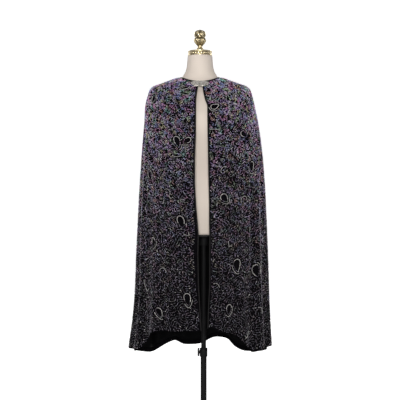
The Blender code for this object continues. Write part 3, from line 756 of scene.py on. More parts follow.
# Drops, leaves and open arcs of silver beads, at their places as seen from the front. Turn is in
# degrees, and the outline is silver within a span round the direction of its light side.
Motif = namedtuple("Motif", "x z length width turn light span black")
FRONT_MOTIFS = {
    "front_left": (
        Motif(-0.066, 1.392, 0.036, 0.018, -40, -20, 80, 1),
        Motif(-0.060, 1.368, 0.040, 0.026, 60, -60, 70, 0),
        Motif(-0.196, 1.345, 0.038, 0.019, -18, 215, 85, 1),
        Motif(-0.180, 1.262, 0.034, 0.024, 30, 170, 70, 0),
        Motif(-0.094, 1.160, 0.044, 0.027, 12, 130, 100, 1),
        Motif(-0.056, 1.166, 0.038, 0.020, -62, 30, 95, 1),
        Motif(-0.103, 1.112, 0.050, 0.032, 70, -70, 75, 0),
        Motif(-0.210, 1.020, 0.036, 0.022, 15, 200, 60, 1),
        Motif(-0.140, 0.948, 0.042, 0.026, -30, 60, 70, 0),
        Motif(-0.078, 0.828, 0.052, 0.029, 8, 95, 105, 1),
        Motif(-0.063, 0.790, 0.046, 0.030, 35, -50, 60, 0),
        Motif(-0.195, 0.745, 0.040, 0.024, -20, 120, 70, 1),
        Motif(-0.222, 0.572, 0.056, 0.034, -14, 215, 85, 0),
        Motif(-0.148, 0.618, 0.044, 0.030, 40, 110, 70, 0),
        Motif(-0.052, 0.512, 0.050, 0.027, 4, 90, 105, 1),
        Motif(-0.168, 0.455, 0.040, 0.025, 24, 40, 75, 1),
    ),
    "front_right": (
        Motif(0.052, 1.348, 0.050, 0.030, 85, -85, 70, 0),
        Motif(0.064, 1.306, 0.036, 0.022, 92, 0, 180, 1),
        Motif(0.060, 1.196, 0.058, 0.034, 88, 95, 75, 0),
        Motif(0.182, 1.192, 0.040, 0.020, 32, 190, 75, 1),
        Motif(0.150, 1.350, 0.036, 0.024, -25, 60, 70, 0),
        Motif(0.215, 1.060, 0.042, 0.024, -8, 10, 80, 1),
        Motif(0.108, 1.040, 0.044, 0.030, 50, 140, 60, 0),
        Motif(0.100, 0.925, 0.040, 0.026, 20, 80, 110, 1),
        Motif(0.178, 0.914, 0.040, 0.027, -25, 100, 100, 0),
        Motif(0.128, 0.752, 0.044, 0.030, -40, 220, 60, 0),
        Motif(0.150, 0.648, 0.052, 0.031, -6, 15, 100, 1),
        Motif(0.232, 0.622, 0.054, 0.029, 6, 170, 105, 1),
        Motif(0.066, 0.560, 0.040, 0.026, 30, 60, 65, 0),
        Motif(0.118, 0.470, 0.040, 0.024, -24, 100, 80, 1),
        Motif(0.196, 0.372, 0.054, 0.034, 86, -88, 85, 0),
        Motif(0.245, 0.452, 0.044, 0.028, 12, 30, 70, 0),
    ),
}
BACK_MOTIF_STEP = 0.130
MOTIF_CLEAR = 0.0070
ARC_CLEAR = 0.0045
ECHO_ROW = 0.0082
ECHO_CLEAR = 0.0122
ECHO_TURN = 150.0
ECHO_SPAN = 62.0
# A strip without beads along the left front edge, widest at mid height: the turned edge and a painted shadow beside it.
BARE_AND_SHADOW_STRIP = 0.0110
BARE_AND_SHADOW_Z = 0.70
BARE_AND_SHADOW_SPREAD = 0.17
SEAM_MARGIN = 0.0012


def motif_outline(length, width, turn, points=44):
    """A drop with a bent tip, as a closed line about its own middle."""
    turn_round = np.linspace(0.0, math.tau, points, endpoint=False)
    across = width / 2 * np.sin(turn_round) * np.abs(np.sin(turn_round / 2)) ** 0.9 * 1.25
    along = -length / 2 * np.cos(turn_round)
    across = across + 0.16 * width * (along / (length / 2) - 1.0) ** 2 * 0.35
    angle = math.radians(turn)
    return np.stack(
        [across * math.cos(angle) - along * math.sin(angle),
         across * math.sin(angle) + along * math.cos(angle)], -1
    )


def outline_distance(places, outline):
    """Distances from a closed outline, negative inside it."""
    start, end = outline, np.roll(outline, -1, axis=0)
    run = end - start
    away = places[:, None, :] - start[None]
    share = np.clip((away * run).sum(2) / (run**2).sum(1), 0.0, 1.0)
    distance = np.linalg.norm(away - share[..., None] * run, axis=2).min(1)
    above_start = start[None, :, 1] > places[:, None, 1]
    above_end = end[None, :, 1] > places[:, None, 1]
    rise = np.where(np.abs(run[:, 1]) < 1e-12, 1e-12, run[:, 1])
    crossing = start[:, 0] + (places[:, None, 1] - start[:, 1]) / rise * run[:, 0]
    inside = ((above_start != above_end) & (places[:, None, 0] < crossing)).sum(1) % 2 == 1
    return np.where(inside, -distance, distance)


def panel_motifs(piece, points, across, down):
    """The panel's motifs as flat places with their sizes: charted in front, on a loose net behind."""
    motifs = []
    if piece in FRONT_MOTIFS:
        for motif in FRONT_MOTIFS[piece]:
            away = (points[..., 0] - FORM_X - motif.x) ** 2 + (points[..., 2] - motif.z) ** 2
            row, column = np.unravel_index(np.argmin(away), away.shape)
            motifs.append((across[row, column], down[row, column]) + tuple(motif[2:]))
        return motifs
    random = np.random.RandomState(41)
    rows = int(down.max() / BACK_MOTIF_STEP)
    for row in range(rows):
        y = (row + 0.45) * BACK_MOTIF_STEP
        nearest = np.argmin(np.abs(down[:, down.shape[1] // 2] - y))
        low, high = across[nearest, 0] + 0.035, across[nearest, -1] - 0.035
        count = max(2, int((high - low) / BACK_MOTIF_STEP))
        for column in range(count + 1):
            x = low + (high - low) * (column + 0.5 * (row % 2)) / (count + 0.5)
            jitter = random.uniform(-0.024, 0.024, 2)
            size = random.uniform(0.040, 0.064)
            turn, light = random.uniform(-80, 80), random.uniform(0, 360)
            black = float(random.uniform() < 0.55)
            span = random.uniform(60, 120)
            motifs.append((x + jitter[0], y + jitter[1], size, size * 0.6, turn, light, span, black))
    return motifs


def motif_distance(motifs, across, down):
    """Distance from the nearest motif's outline over the whole grid, and which motif it is."""
    nearest = np.full(across.shape, 1.0)
    owner = np.zeros(across.shape, int)
    places = np.stack([across, down], -1)
    for index, (x, y, length, width, turn) in enumerate(motif[:5] for motif in motifs):
        reach = length / 2 + 0.045
        pick = np.nonzero((np.abs(across - x) < reach) & (np.abs(down - y) < reach))
        outline = motif_outline(length, width, turn) * (1, -1) + (x, y)
        distance = outline_distance(places[pick], outline)
        better = distance < nearest[pick]
        rows, columns = pick[0][better], pick[1][better]
        nearest[rows, columns] = distance[better]
        owner[rows, columns] = index
    return nearest, owner


def trace_zero(field):
    """The lines where a grid of values passes through zero, as chains of (row, column) places."""
    rows, columns = field.shape
    above = field > 0
    flat_cross = above[:, :-1] != above[:, 1:]
    tall_cross = above[:-1] != above[1:]
    top, low = flat_cross[:-1], flat_cross[1:]
    left, right = tall_cross[:, :-1], tall_cross[:, 1:]
    number = np.arange(rows * columns).reshape(rows, columns) * 2
    ids = (number[:-1, :-1], number[1:, :-1], number[:-1, :-1] + 1, number[:-1, 1:] + 1)
    sides = (top, low, left, right)
    busy = top.astype(int) + low + left + right
    links = []
    for a in range(4):
        for b in range(a + 1, 4):
            pick = (busy == 2) & sides[a] & sides[b]
            links.append(np.stack([ids[a][pick], ids[b][pick]], 1))
    pick = busy == 4
    for a, b in ((0, 2), (1, 3)):
        links.append(np.stack([ids[a][pick], ids[b][pick]], 1))
    links = np.concatenate(links)
    neighbours = {}
    for first, second in links.tolist():
        neighbours.setdefault(first, []).append(second)
        neighbours.setdefault(second, []).append(first)
    chains, seen = [], set()
    ends = [key for key, near in neighbours.items() if len(near) == 1]
    for begin in ends + list(neighbours):
        if begin in seen:
            continue
        chain = [begin]
        seen.add(begin)
        step = next((n for n in neighbours[begin] if n not in seen), None)
        while step is not None:
            chain.append(step)
            seen.add(step)
            step = next((n for n in neighbours[step] if n not in seen), None)
        if chain[0] in neighbours[chain[-1]] and len(chain) > 2:
            chain.append(chain[0])
        keys = np.array(chain)
        cell, upright = keys // 2, keys % 2
        row, column = cell // columns, cell % columns
        here = field[row, column]
        there = field[row + upright, column + 1 - upright]
        share = here / (here - there)
        chains.append(np.stack([row + share * upright, column + share * (1 - upright)], 1))
    return chains


def read_grid(grid, places):
    """Values of a grid at (row, column) places between its points."""
    row, column = places[:, 0], places[:, 1]
    top = np.clip(np.floor(row).astype(int), 0, grid.shape[0] - 2)
    left = np.clip(np.floor(column).astype(int), 0, grid.shape[1] - 2)
    u, v = column - left, row - top
    if grid.ndim == 3:
        u, v = u[:, None], v[:, None]
    upper = grid[top, left] * (1 - u) + grid[top, left + 1] * u
    lower = grid[top + 1, left] * (1 - u) + grid[top + 1, left + 1] * u
    return upper * (1 - v) + lower * v


def string_beads(chains, points, step, offset=0.5):
    """Places of beads a step apart along chains, and the direction of the line at each."""
    found, ways = [], []
    for chain in chains:
        solid = read_grid(points, chain)
        length = np.concatenate([[0.0], np.cumsum(np.linalg.norm(np.diff(solid, axis=0), axis=1))])
        count = int(length[-1] / step)
        if count < 2:
            continue
        at = (np.arange(count) + offset) * length[-1] / count
        place = np.stack([np.interp(at, length, chain[:, k]) for k in (0, 1)], 1)
        ahead = np.stack([np.interp(at + step / 3, length, solid[:, k]) for k in range(3)], 1)
        behind = np.stack([np.interp(at - step / 3, length, solid[:, k]) for k in range(3)], 1)
        found.append(place)
        ways.append(ahead - behind)
    if not found:
        return np.zeros((0, 2)), np.zeros((0, 3))
    return np.concatenate(found), np.concatenate(ways)


SEED_LEVEL = 0.85
SEED_POWER = 1.6
SEEDS = {"front_left": 4600, "front_right": 4600, "back": 11000}


def scatter_seeds(worm, points, random, count):
    """Single beads in the gaps between the lines, more of them towards the top."""
    rows, columns = np.nonzero(np.abs(worm[1:-1, 1:-1]) > SEED_LEVEL)
    height = (points[rows + 1, columns + 1, 2] - LOW_Z) / (TOP_Z - LOW_Z)
    weight = np.clip(height, 0.12, 1.0) ** SEED_POWER
    count = min(count, len(rows))
    pick = random.choice(len(rows), count, replace=False, p=weight / weight.sum())
    place = np.stack([rows[pick], columns[pick]], 1) + 1.0 + random.uniform(-0.5, 0.5, (count, 2))
    turn = random.uniform(0.0, math.tau, count)
    step = 0.3 * np.stack([np.cos(turn), np.sin(turn)], 1)
    return place, read_grid(points, place + step) - read_grid(points, place - step)


# One bead: a stone with four sides and two tips, lying on the cloth
BEAD_CORNERS = np.array(
    [[1, 0, 0.3], [0, 1, 0.3], [-1, 0, 0.3], [0, -1, 0.3], [0, 0, 1.0], [0, 0, -0.3]], float
)
BEAD_FACES = np.array(
    [[0, 1, 4], [1, 2, 4], [2, 3, 4], [3, 0, 4], [1, 0, 5], [2, 1, 5], [3, 2, 5], [0, 3, 5]]
)


def bead_mesh(name, places, ways, normals, sizes, tints, tilt):
    """Many beads joined into one mesh, each with its own size, tint and tilt."""
    along = ways / np.linalg.norm(ways, axis=1, keepdims=True)
    up = normals + tilt
    up /= np.linalg.norm(up, axis=1, keepdims=True)
    aside = np.cross(up, along)
    aside /= np.linalg.norm(aside, axis=1, keepdims=True)
    along = np.cross(aside, up)
    count = len(places)
    corners = (
        places[:, None, :]
        + along[:, None, :] * (BEAD_CORNERS[None, :, 0:1] * sizes[:, None, 0:1])
        + aside[:, None, :] * (BEAD_CORNERS[None, :, 1:2] * sizes[:, None, 1:2])
        + up[:, None, :] * (BEAD_CORNERS[None, :, 2:3] * sizes[:, None, 2:3])
    )
    faces = BEAD_FACES[None] + np.arange(count)[:, None, None] * len(BEAD_CORNERS)
    mesh = bpy.data.meshes.new(name)
    mesh.vertices.add(count * len(BEAD_CORNERS))
    mesh.vertices.foreach_set("co", corners.astype(np.float32).ravel())
    total = count * len(BEAD_FACES)
    mesh.loops.add(total * 3)
    mesh.loops.foreach_set("vertex_index", faces.astype(np.int32).ravel())
    mesh.polygons.add(total)
    mesh.polygons.foreach_set("loop_start", np.arange(total, dtype=np.int32) * 3)
    mesh.update(calc_edges=True)
    shades = np.ones((count * len(BEAD_CORNERS), 4), np.float32)
    shades[:, :3] = np.repeat(tints, len(BEAD_CORNERS), axis=0)
    layer = mesh.color_attributes.new("tint", "FLOAT_COLOR", "POINT")
    layer.data.foreach_set("color", shades.ravel())
    mesh.materials.append(BEAD_GLASS)
    thing = bpy.data.objects.new(name, mesh)
    bpy.context.scene.collection.objects.link(thing)
    return thing


# Bead colours: a share of the cloth each, and where in the noise each lies
GREY = np.array((0.310, 0.295, 0.325))
TINTS = np.array(
    (
        (0.32, 0.20, 0.46),
        (0.44, 0.17, 0.34),
        (0.19, 0.22, 0.46),
        (0.30, 0.24, 0.42),
        (0.16, 0.34, 0.31),
        (0.24, 0.35, 0.20),
        (0.48, 0.22, 0.19),
        (0.42, 0.37, 0.20),
    )
)
SILVER = np.array((0.92, 0.90, 0.86))
TINT_FIELDS = [noise_field(100 + index, 0.052, 0.7) for index in range(len(TINTS))]
GLINT_FIELD = noise_field(200, 0.013, 0.6)
GAP_FIELD = noise_field(250, 0.021, 0.6)
GAP_LEVEL = 1.0
LINE_FIELD = noise_field(300, LINE_SPACING * 2.0, 0.20)
SHADE_FIELD = noise_field(400, 0.11, 0.5)
TOP_Z, LOW_Z = 1.40, 0.30


def bead_tints(across, down, z, random):
    """A tint for each bead: patches of colour over grey, livelier and lighter towards the top."""
    height = np.clip((z - LOW_Z) / (TOP_Z - LOW_Z), 0.0, 1.0)
    strength = np.stack([sample_field(field, across, down) for field in TINT_FIELDS], 1)
    strength[:, 4:] -= 0.45
    strength[:, :2] += 0.15
    pick = strength.argmax(1)
    best = np.take_along_axis(strength, pick[:, None], 1)[:, 0]
    share = (0.28 + 0.72 * smooth_step((best - 0.4) / 1.1)) * (0.12 + 0.88 * height**1.2)
    colour = GREY * (1 - share[:, None]) + TINTS[pick] * share[:, None]
    glint = 1.0 + 0.55 * sample_field(GLINT_FIELD, across, down)
    shade = 1.0 + 0.16 * sample_field(SHADE_FIELD, across, down)
    spark = np.exp(random.normal(0.0, 0.50, len(across)))
    level = np.clip(glint, 0.12, 2.6) * shade * spark * (0.44 + 1.38 * np.minimum(height, 0.92) ** 1.9)
    return np.clip(colour * level[:, None], 0.003, 0.95)


def make_beads(piece, columns, parts):
    """All the beads of a panel, as one or more joined meshes."""
    share = np.linspace(0.0, 1.0, BEAD_ROWS + 1)
    points = cape_surface(share, panel_angles(piece, share, columns))
    normals = grid_normals(points)
    across, down = flat_places(points)
    seed = {"front_left": 11, "front_right": 12, "back": 13}[piece]
    shift = seed * 0.37
    random = np.random.RandomState(seed)
    motifs = panel_motifs(piece, points, across, down)
    distance, owner = motif_distance(motifs, across, down)
    worm = sample_field(LINE_FIELD, across + shift, down)
    groups = []
    for kind, field in (
        ("worm", worm),
        ("outline", distance - 0.0006),
        ("echo", distance - ECHO_ROW),
    ):
        step = BEAD_STEP * (1.0 if kind == "worm" else 1.12)
        place, way = string_beads(trace_zero(field), points, step)
        groups.append((kind, place, way))
    groups.append(("seed", *scatter_seeds(worm, points, random, SEEDS[piece])))
    place = np.concatenate([group[1] for group in groups])
    way = np.concatenate([group[2] for group in groups])
    kind = np.concatenate([np.full(len(group[1]), index) for index, group in enumerate(groups)])
    solid, normal = read_grid(points, place), read_grid(normals, place)
    x, y = read_grid(across, place), read_grid(down, place)
    away = read_grid(distance, place)
    centre = np.array(motifs)[owner[tuple(np.round(place).astype(int).T)]]
    round_motif = np.degrees(np.arctan2(-(y - centre[:, 1]), x - centre[:, 0]))
    lit = np.abs(turn_back(round_motif - centre[:, 5])) < centre[:, 6]
    black = centre[:, 7] > 0.5
    outer = black & (np.abs(turn_back(round_motif - centre[:, 5] + ECHO_TURN)) < ECHO_SPAN)
    gap = sample_field(GAP_FIELD, x + shift, y)
    clear = np.where(outer, ECHO_CLEAR, MOTIF_CLEAR)
    worms = np.where(black, away > clear, ~lit | (np.abs(away) > ARC_CLEAR)) & (gap < GAP_LEVEL)
    keep = np.select([(kind == 0) | (kind == 3), kind == 1], [worms, black | lit], outer)
    first = x - read_grid(np.repeat(across[:, :1], across.shape[1], 1), place)
    last = read_grid(np.repeat(across[:, -1:], across.shape[1], 1), place) - x
    keep &= np.minimum(first, last) > SEAM_MARGIN
    if piece != "back":
        middle = points[len(points) // 2]
        front = last if abs(middle[-1, 0]) < abs(middle[0, 0]) else first
        # No beads in a strip along the left front edge: the turned edge itself, and a painted shadow beside it.
        bare_and_shadow = BARE_AND_SHADOW_STRIP * np.exp(-(((solid[:, 2] - BARE_AND_SHADOW_Z) / BARE_AND_SHADOW_SPREAD) ** 2))
        keep &= front > EDGE_MARGIN * 0.5 + (bare_and_shadow if piece == "front_left" else 0.0)
    ends = np.minimum(y, read_grid(np.repeat(down[-1:], len(down), 0), place) - y)
    keep &= ends > EDGE_MARGIN
    place, way, kind, solid, normal, x, y, lit, black = (
        v[keep] for v in (place, way, kind, solid, normal, x, y, lit, black)
    )
    tints = bead_tints(x + shift, y, solid[:, 2], random)
    sizes = np.tile((BEAD_LENGTH / 2, BEAD_WIDTH / 2, BEAD_HEIGHT), (len(place), 1))
    sizes *= random.uniform(0.86, 1.12, (len(place), 1))
    silver = ((kind == 1) & lit) | (kind == 2)
    shine = np.where(black[silver] & (kind[silver] == 1), 1.0, 0.72)
    tints[silver] = SILVER * (shine * random.uniform(0.65, 1.1, silver.sum()))[:, None]
    sizes[silver] *= SILVER_SCALE
    stones = random.uniform(size=len(place)) < 0.012
    tints[stones] = SILVER * random.uniform(0.5, 0.95, (stones.sum(), 1))
    sizes[stones] *= 1.25
    tilt = random.normal(0.0, 0.16, (len(place), 3))
    solid = solid + normal * 0.0003
    pieces = []
    order = np.minimum((place[:, 1] / columns * parts).astype(int), parts - 1)
    for part in range(parts):
        pick = order == part
        name = f"beads_{piece}" if parts == 1 else f"beads_{piece}_{part + 1}"
        pieces.append(
            bead_mesh(name, solid[pick], way[pick], normal[pick], sizes[pick], tints[pick], tilt[pick])
        )
    return pieces


# Cape

Panel = namedtuple("Panel", "piece shell_columns bead_columns bead_parts flat area lining_flat lining_area")
PANELS = (
    Panel("front_left", FRONT_SHELL_COLUMNS, FRONT_BEAD_COLUMNS, 1, (0.50, 1.28), 0.43, (0.50, 1.26), 0.42),
    Panel("front_right", FRONT_SHELL_COLUMNS, FRONT_BEAD_COLUMNS, 1, (0.50, 1.28), 0.43, (0.50, 1.26), 0.42),
    Panel("back", BACK_SHELL_COLUMNS, BACK_BEAD_COLUMNS, 2, (1.05, 1.30), 0.96, (1.05, 1.28), 0.94),
)


def make_cape():
    bindings = {
        "front_left": [make_front_binding(-1, "left")],
        "front_right": [make_front_binding(1, "right")],
        "back": [make_neck_binding()],
    }
    for panel in PANELS:
        points, normals = panel_surface(panel.piece, panel.shell_columns, SHELL_ROWS)
        shell = sheet_from_grid(
            "cloth_" + panel.piece, points, flat_places(points), PANEL_THICKNESS, GROUND_CLOTH
        )
        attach(shell, "figure")
        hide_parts("cape_" + panel.piece)
        beads = make_beads(panel.piece, panel.bead_columns, panel.bead_parts)
        for piece in beads:
            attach(piece, "figure")
        points, normals = panel_surface(panel.piece, panel.shell_columns, LINING_ROWS, LINING_END)
        inner = points - normals * LINING_INSET
        lining = sheet_from_grid(
            "satin_" + panel.piece, inner, flat_places(inner), LINING_THICKNESS, SATIN
        )
        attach(lining, "figure")
        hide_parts("lining_" + panel.piece)


BINDING_SIDES = 12


def binding_tube(name, places, ups, outs, width, depth, node):
    """A folded strip along an edge: rings round it, bridged from station to station."""
    bm = bmesh.new()
    rings = []
    for place, up, out in zip(places, ups, outs):
        ring = []
        for side in range(BINDING_SIDES):
            turn = math.tau * side / BINDING_SIDES
            across = math.copysign(abs(math.cos(turn)) ** 0.7, math.cos(turn))
            proud = math.copysign(abs(math.sin(turn)) ** 0.7, math.sin(turn))
            ring.append(bm.verts.new(place + up * (across * width / 2) + out * (proud * depth / 2)))
        rings.append(ring)
    for low, high in zip(rings, rings[1:]):
        for j in range(BINDING_SIDES):
            k = (j + 1) % BINDING_SIDES
            bm.faces.new((low[j], low[k], high[k], high[j]))
    bm.faces.new(rings[0])
    bm.faces.new(rings[-1][::-1])
    bmesh.ops.recalc_face_normals(bm, faces=bm.faces)
    thing = finish_mesh(name, bm, [BINDING_SATIN])
    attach(thing, "figure")
    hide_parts(node)
    return thing


def make_front_binding(side, name):
    share = np.linspace(0.0, 1.0, 221)
    edge = edge_angles(share, side, BINDING_WIDTH)[:, None]
    grid = cape_surface(share, edge + side * np.array([[0.0, 1.0]]))
    down = np.gradient(grid[:, 0], axis=0)
    inward = grid[:, 0] - grid[:, 1]
    inward /= np.linalg.norm(inward, axis=1, keepdims=True)
    out = np.cross(inward, down) * side
    out /= np.linalg.norm(out, axis=1, keepdims=True)
    if out[len(out) // 2, 1] > 0:
        out = -out
    middle = grid[:, 0] + inward * (BINDING_WIDTH / 2 + 0.0001) - out * (CLOTH_STACK / 2)
    places = [Vector(p) for p in middle]
    return binding_tube(
        "edge_binding_" + name, places, [Vector(v) for v in inward], [Vector(v) for v in out],
        BINDING_WIDTH, BINDING_DEPTH, "front_binding_" + name,
    )


def make_neck_binding():
    share = np.array([0.0])
    first = edge_angles(share, 1, 0.0)[0]
    last = edge_angles(share, -1, 0.0)[0] + 360.0
    angle = np.linspace(first, last, 181)[None, :]
    grid = cape_surface(np.array([0.0, 0.01]), np.repeat(angle, 2, 0))
    up = grid[0] - grid[1]
    up /= np.linalg.norm(up, axis=1, keepdims=True)
    along = np.gradient(grid[0], axis=0)
    out = np.cross(along, up)
    out /= np.linalg.norm(out, axis=1, keepdims=True)
    if (out[0] * (0, -1, 0)).sum() < 0:
        out = -out
    middle = grid[0] + up * (BINDING_WIDTH / 2 + 0.0001) - out * (CLOTH_STACK / 2)
    return binding_tube(
        "neckline_binding", [Vector(p) for p in middle], [Vector(v) for v in up],
        [Vector(v) for v in out], BINDING_WIDTH, BINDING_DEPTH, "neck_binding",
    )


# Clasp

Leaf = namedtuple("Leaf", "reach half_height")
CLASP_LEAF = (
    Leaf(0.0000, 0.0125),
    Leaf(0.0045, 0.0150),
    Leaf(0.0105, 0.0165),
    Leaf(0.0180, 0.0155),
    Leaf(0.0260, 0.0122),
    Leaf(0.0330, 0.0078),
    Leaf(0.0375, 0.0030),
)
LEAF_TABLE = table_arrays(CLASP_LEAF)
CLASP_X = -0.0008
CLASP_SPLIT = 0.0003
CLASP_MIDDLE = 0.62
CLASP_WIDEST = 0.0165
CLASP_PROUD = 0.0009
CLASP_THICKNESS = 0.0024
CLASP_CROWN = 0.0026
STONE_ROWS = 5


def clasp_place(side, reach, share_up):
    """A point on the front panels under the clasp, with the direction out of them."""
    half = float(np.interp(reach, LEAF_TABLE["reach"], LEAF_TABLE["half_height"]))
    row = CLASP_MIDDLE + share_up * half / STEP_LENGTHS[0]
    share = np.array([row * STEP_LENGTHS[0] / ROW_LENGTH[-1]])
    x = FORM_X + CLASP_X + side * (reach + CLASP_SPLIT)
    angle = np.array([[math.copysign(4.0, x - FORM_X)]])
    for _ in range(8):
        here = cape_surface(share, angle)[0, 0, 0]
        slope = cape_surface(share, angle + 1.0)[0, 0, 0] - here
        angle = angle + (x - here) / slope
    here = cape_surface(share, angle)[0, 0]
    around = cape_surface(share, angle + 1.5)[0, 0] - cape_surface(share, angle - 1.5)[0, 0]
    drop = cape_surface(share + 0.01, angle)[0, 0] - here
    out = Vector(np.cross(drop, around)).normalized()
    return Vector(here), out, half


def make_clasp_half(side, name):
    """A leaf-shaped plate with a raised rim, set with rows of cut stones."""
    reaches = np.linspace(0.0, CLASP_LEAF[-1].reach, 23)
    ups = np.linspace(-1.0, 1.0, 13)
    bm = bmesh.new()
    bmesh.ops.create_grid(bm, x_segments=len(reaches) - 1, y_segments=len(ups) - 1, size=1.0)
    bm.verts.ensure_lookup_table()
    index = 0
    for up in ups:
        for reach in reaches:
            place, out, half = clasp_place(side, reach, up)
            rim = max(abs(up), reach / CLASP_LEAF[-1].reach)
            lift = CLASP_THICKNESS + CLASP_CROWN * (1 - up * up) * half / CLASP_WIDEST
            lift += 0.0009 * math.exp(-(((1.0 - rim) / 0.10) ** 2))
            bm.verts[index].co = place + out * (CLASP_PROUD + lift)
            index += 1
    bm.normal_update()
    bm.faces.ensure_lookup_table()
    if bm.faces[0].normal.y > 0:
        bmesh.ops.reverse_faces(bm, faces=bm.faces)
    plate = finish_mesh("clasp_plate_" + name, bm, [CLASP_METAL])
    wall = plate.modifiers.new("Thickness", "SOLIDIFY")
    wall.thickness = 0.0026
    wall.offset = -1.0
    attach(plate, "figure")
    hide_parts("clasp_" + name)
    stones = bmesh.new()
    for row in range(STONE_ROWS):
        up = -0.74 + 1.48 * row / (STONE_ROWS - 1)
        reach = 0.0032 + 0.0012 * (row % 2)
        while reach < CLASP_LEAF[-1].reach - 0.003:
            place, out, half = clasp_place(side, reach, up)
            lift = CLASP_THICKNESS + CLASP_CROWN * (1 - up * up) * half / CLASP_WIDEST
            radius = 0.00095 + 0.0011 * half / CLASP_WIDEST
            add_stone(stones, place + out * (CLASP_PROUD + lift - 0.0001), out, radius)
            reach += radius * 2.15
    gems = finish_mesh("clasp_stones_" + name, stones, [CLASP_STONES], smooth=False)
    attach(gems, "figure")


STONE_SIDES = 8


def add_stone(bm, place, out, radius):
    """A cut stone: a girdle, a sloping crown and a flat table."""
    made = bmesh.ops.create_circle(bm, cap_ends=True, segments=STONE_SIDES, radius=radius)
    base = made["verts"]
    face = base[0].link_faces[0]
    crown = bmesh.ops.inset_region(bm, faces=[face], thickness=radius * 0.42, depth=radius * 0.62)
    verts = set(base) | {v for f in crown["faces"] for v in f.verts} | set(face.verts)
    turn = out.to_track_quat("Z", "Y").to_matrix().to_4x4()
    bmesh.ops.transform(bm, matrix=Matrix.Translation(place) @ turn, verts=list(verts))


# Dress form

Ring = namedtuple("Ring", "half_width front back z_side z_front z_back")
FORM_TORSO = (
    Ring(0.1560, 0.0970, 0.1060, 0.7740, 0.7740, 0.7740),
    Ring(0.1660, 0.1050, 0.1180, 0.7860, 0.7860, 0.7860),
    Ring(0.1750, 0.1130, 0.1280, 0.8400, 0.8400, 0.8400),
    Ring(0.1760, 0.1160, 0.1300, 0.9000, 0.9000, 0.9000),
    Ring(0.1600, 0.1120, 0.1170, 0.9800, 0.9800, 0.9800),
    Ring(0.1270, 0.0980, 0.0880, 1.0700, 1.0700, 1.0700),
    Ring(0.1320, 0.1070, 0.0920, 1.1450, 1.1450, 1.1450),
    Ring(0.1480, 0.1300, 0.1030, 1.2150, 1.2150, 1.2150),
    Ring(0.1600, 0.1300, 0.1120, 1.2750, 1.2650, 1.2750),
    Ring(0.1760, 0.1140, 0.1160, 1.3250, 1.3100, 1.3250),
    Ring(0.1960, 0.0940, 0.1080, 1.3700, 1.3500, 1.3650),
    Ring(0.2020, 0.0810, 0.0970, 1.3960, 1.3740, 1.3880),
)
Crest = namedtuple("Crest", "cape_row deeper front back z_front z_back")
FORM_CRESTS = (
    Crest(4, 0.0, 0.0720, 0.0860, 1.3850, 1.3990),
    Crest(3, 0.0, 0.0650, 0.0760, 1.3990, 1.4130),
    Crest(2, 0.0, 0.0600, 0.0680, 1.4110, 1.4260),
    Crest(1, 0.0, 0.0570, 0.0620, 1.4230, 1.4370),
    Crest(0, 0.0005, 0.0560, 0.0590, 1.4330, 1.4440),
    Crest(-0.25, 0.0005, 0.0555, 0.0580, 1.4380, 1.4470),
)
FORM_NECK = (
    Ring(0.0700, 0.0555, 0.0570, 1.4590, 1.4510, 1.4590),
    Ring(0.0634, 0.0560, 0.0570, 1.4700, 1.4650, 1.4710),
    Ring(0.0602, 0.0563, 0.0568, 1.4800, 1.4770, 1.4805),
    Ring(0.0568, 0.0560, 0.0562, 1.4960, 1.4950, 1.4960),
    Ring(0.0546, 0.0546, 0.0546, 1.5200, 1.5200, 1.5200),
    Ring(0.0534, 0.0534, 0.0534, 1.5350, 1.5350, 1.5350),
    Ring(0.0518, 0.0518, 0.0518, 1.5385, 1.5385, 1.5385),
)
CREST_INSET = 0.0034
FORM_COLUMNS = 112
FORM_STEPS = 5


def crest_ring(crest):
    """A ring of the form under one row of the cape, just below its lining."""
    low = max(int(math.floor(crest.cape_row)), 0)
    here, there = SHOULDERS[low], SHOULDERS[low + 1]
    share = crest.cape_row - low
    x = here.half_width + (there.half_width - here.half_width) * share
    z = here.z_side + (there.z_side - here.z_side) * share
    slope = Vector((there.half_width - here.half_width, there.z_side - here.z_side)).normalized()
    inset = CREST_INSET + crest.deeper
    return Ring(
        x + slope.y * inset, crest.front, crest.back, z - slope.x * inset, crest.z_front, crest.z_back
    )


def spline_rows(rows, steps):
    """Rows of numbers with smooth ones added between them."""
    table = np.array(rows, float)
    padded = np.concatenate([[2 * table[0] - table[1]], table, [2 * table[-1] - table[-2]]])
    result = []
    for a, b, c, d in zip(padded, padded[1:], padded[2:], padded[3:]):
        for step in range(steps):
            u = step / steps
            result.append(
                0.5 * (2 * b + (c - a) * u + (2 * a - 5 * b + 4 * c - d) * u**2
                       + (3 * b - a - 3 * c + d) * u**3)
            )
    result.append(table[-1])
    return np.array(result)


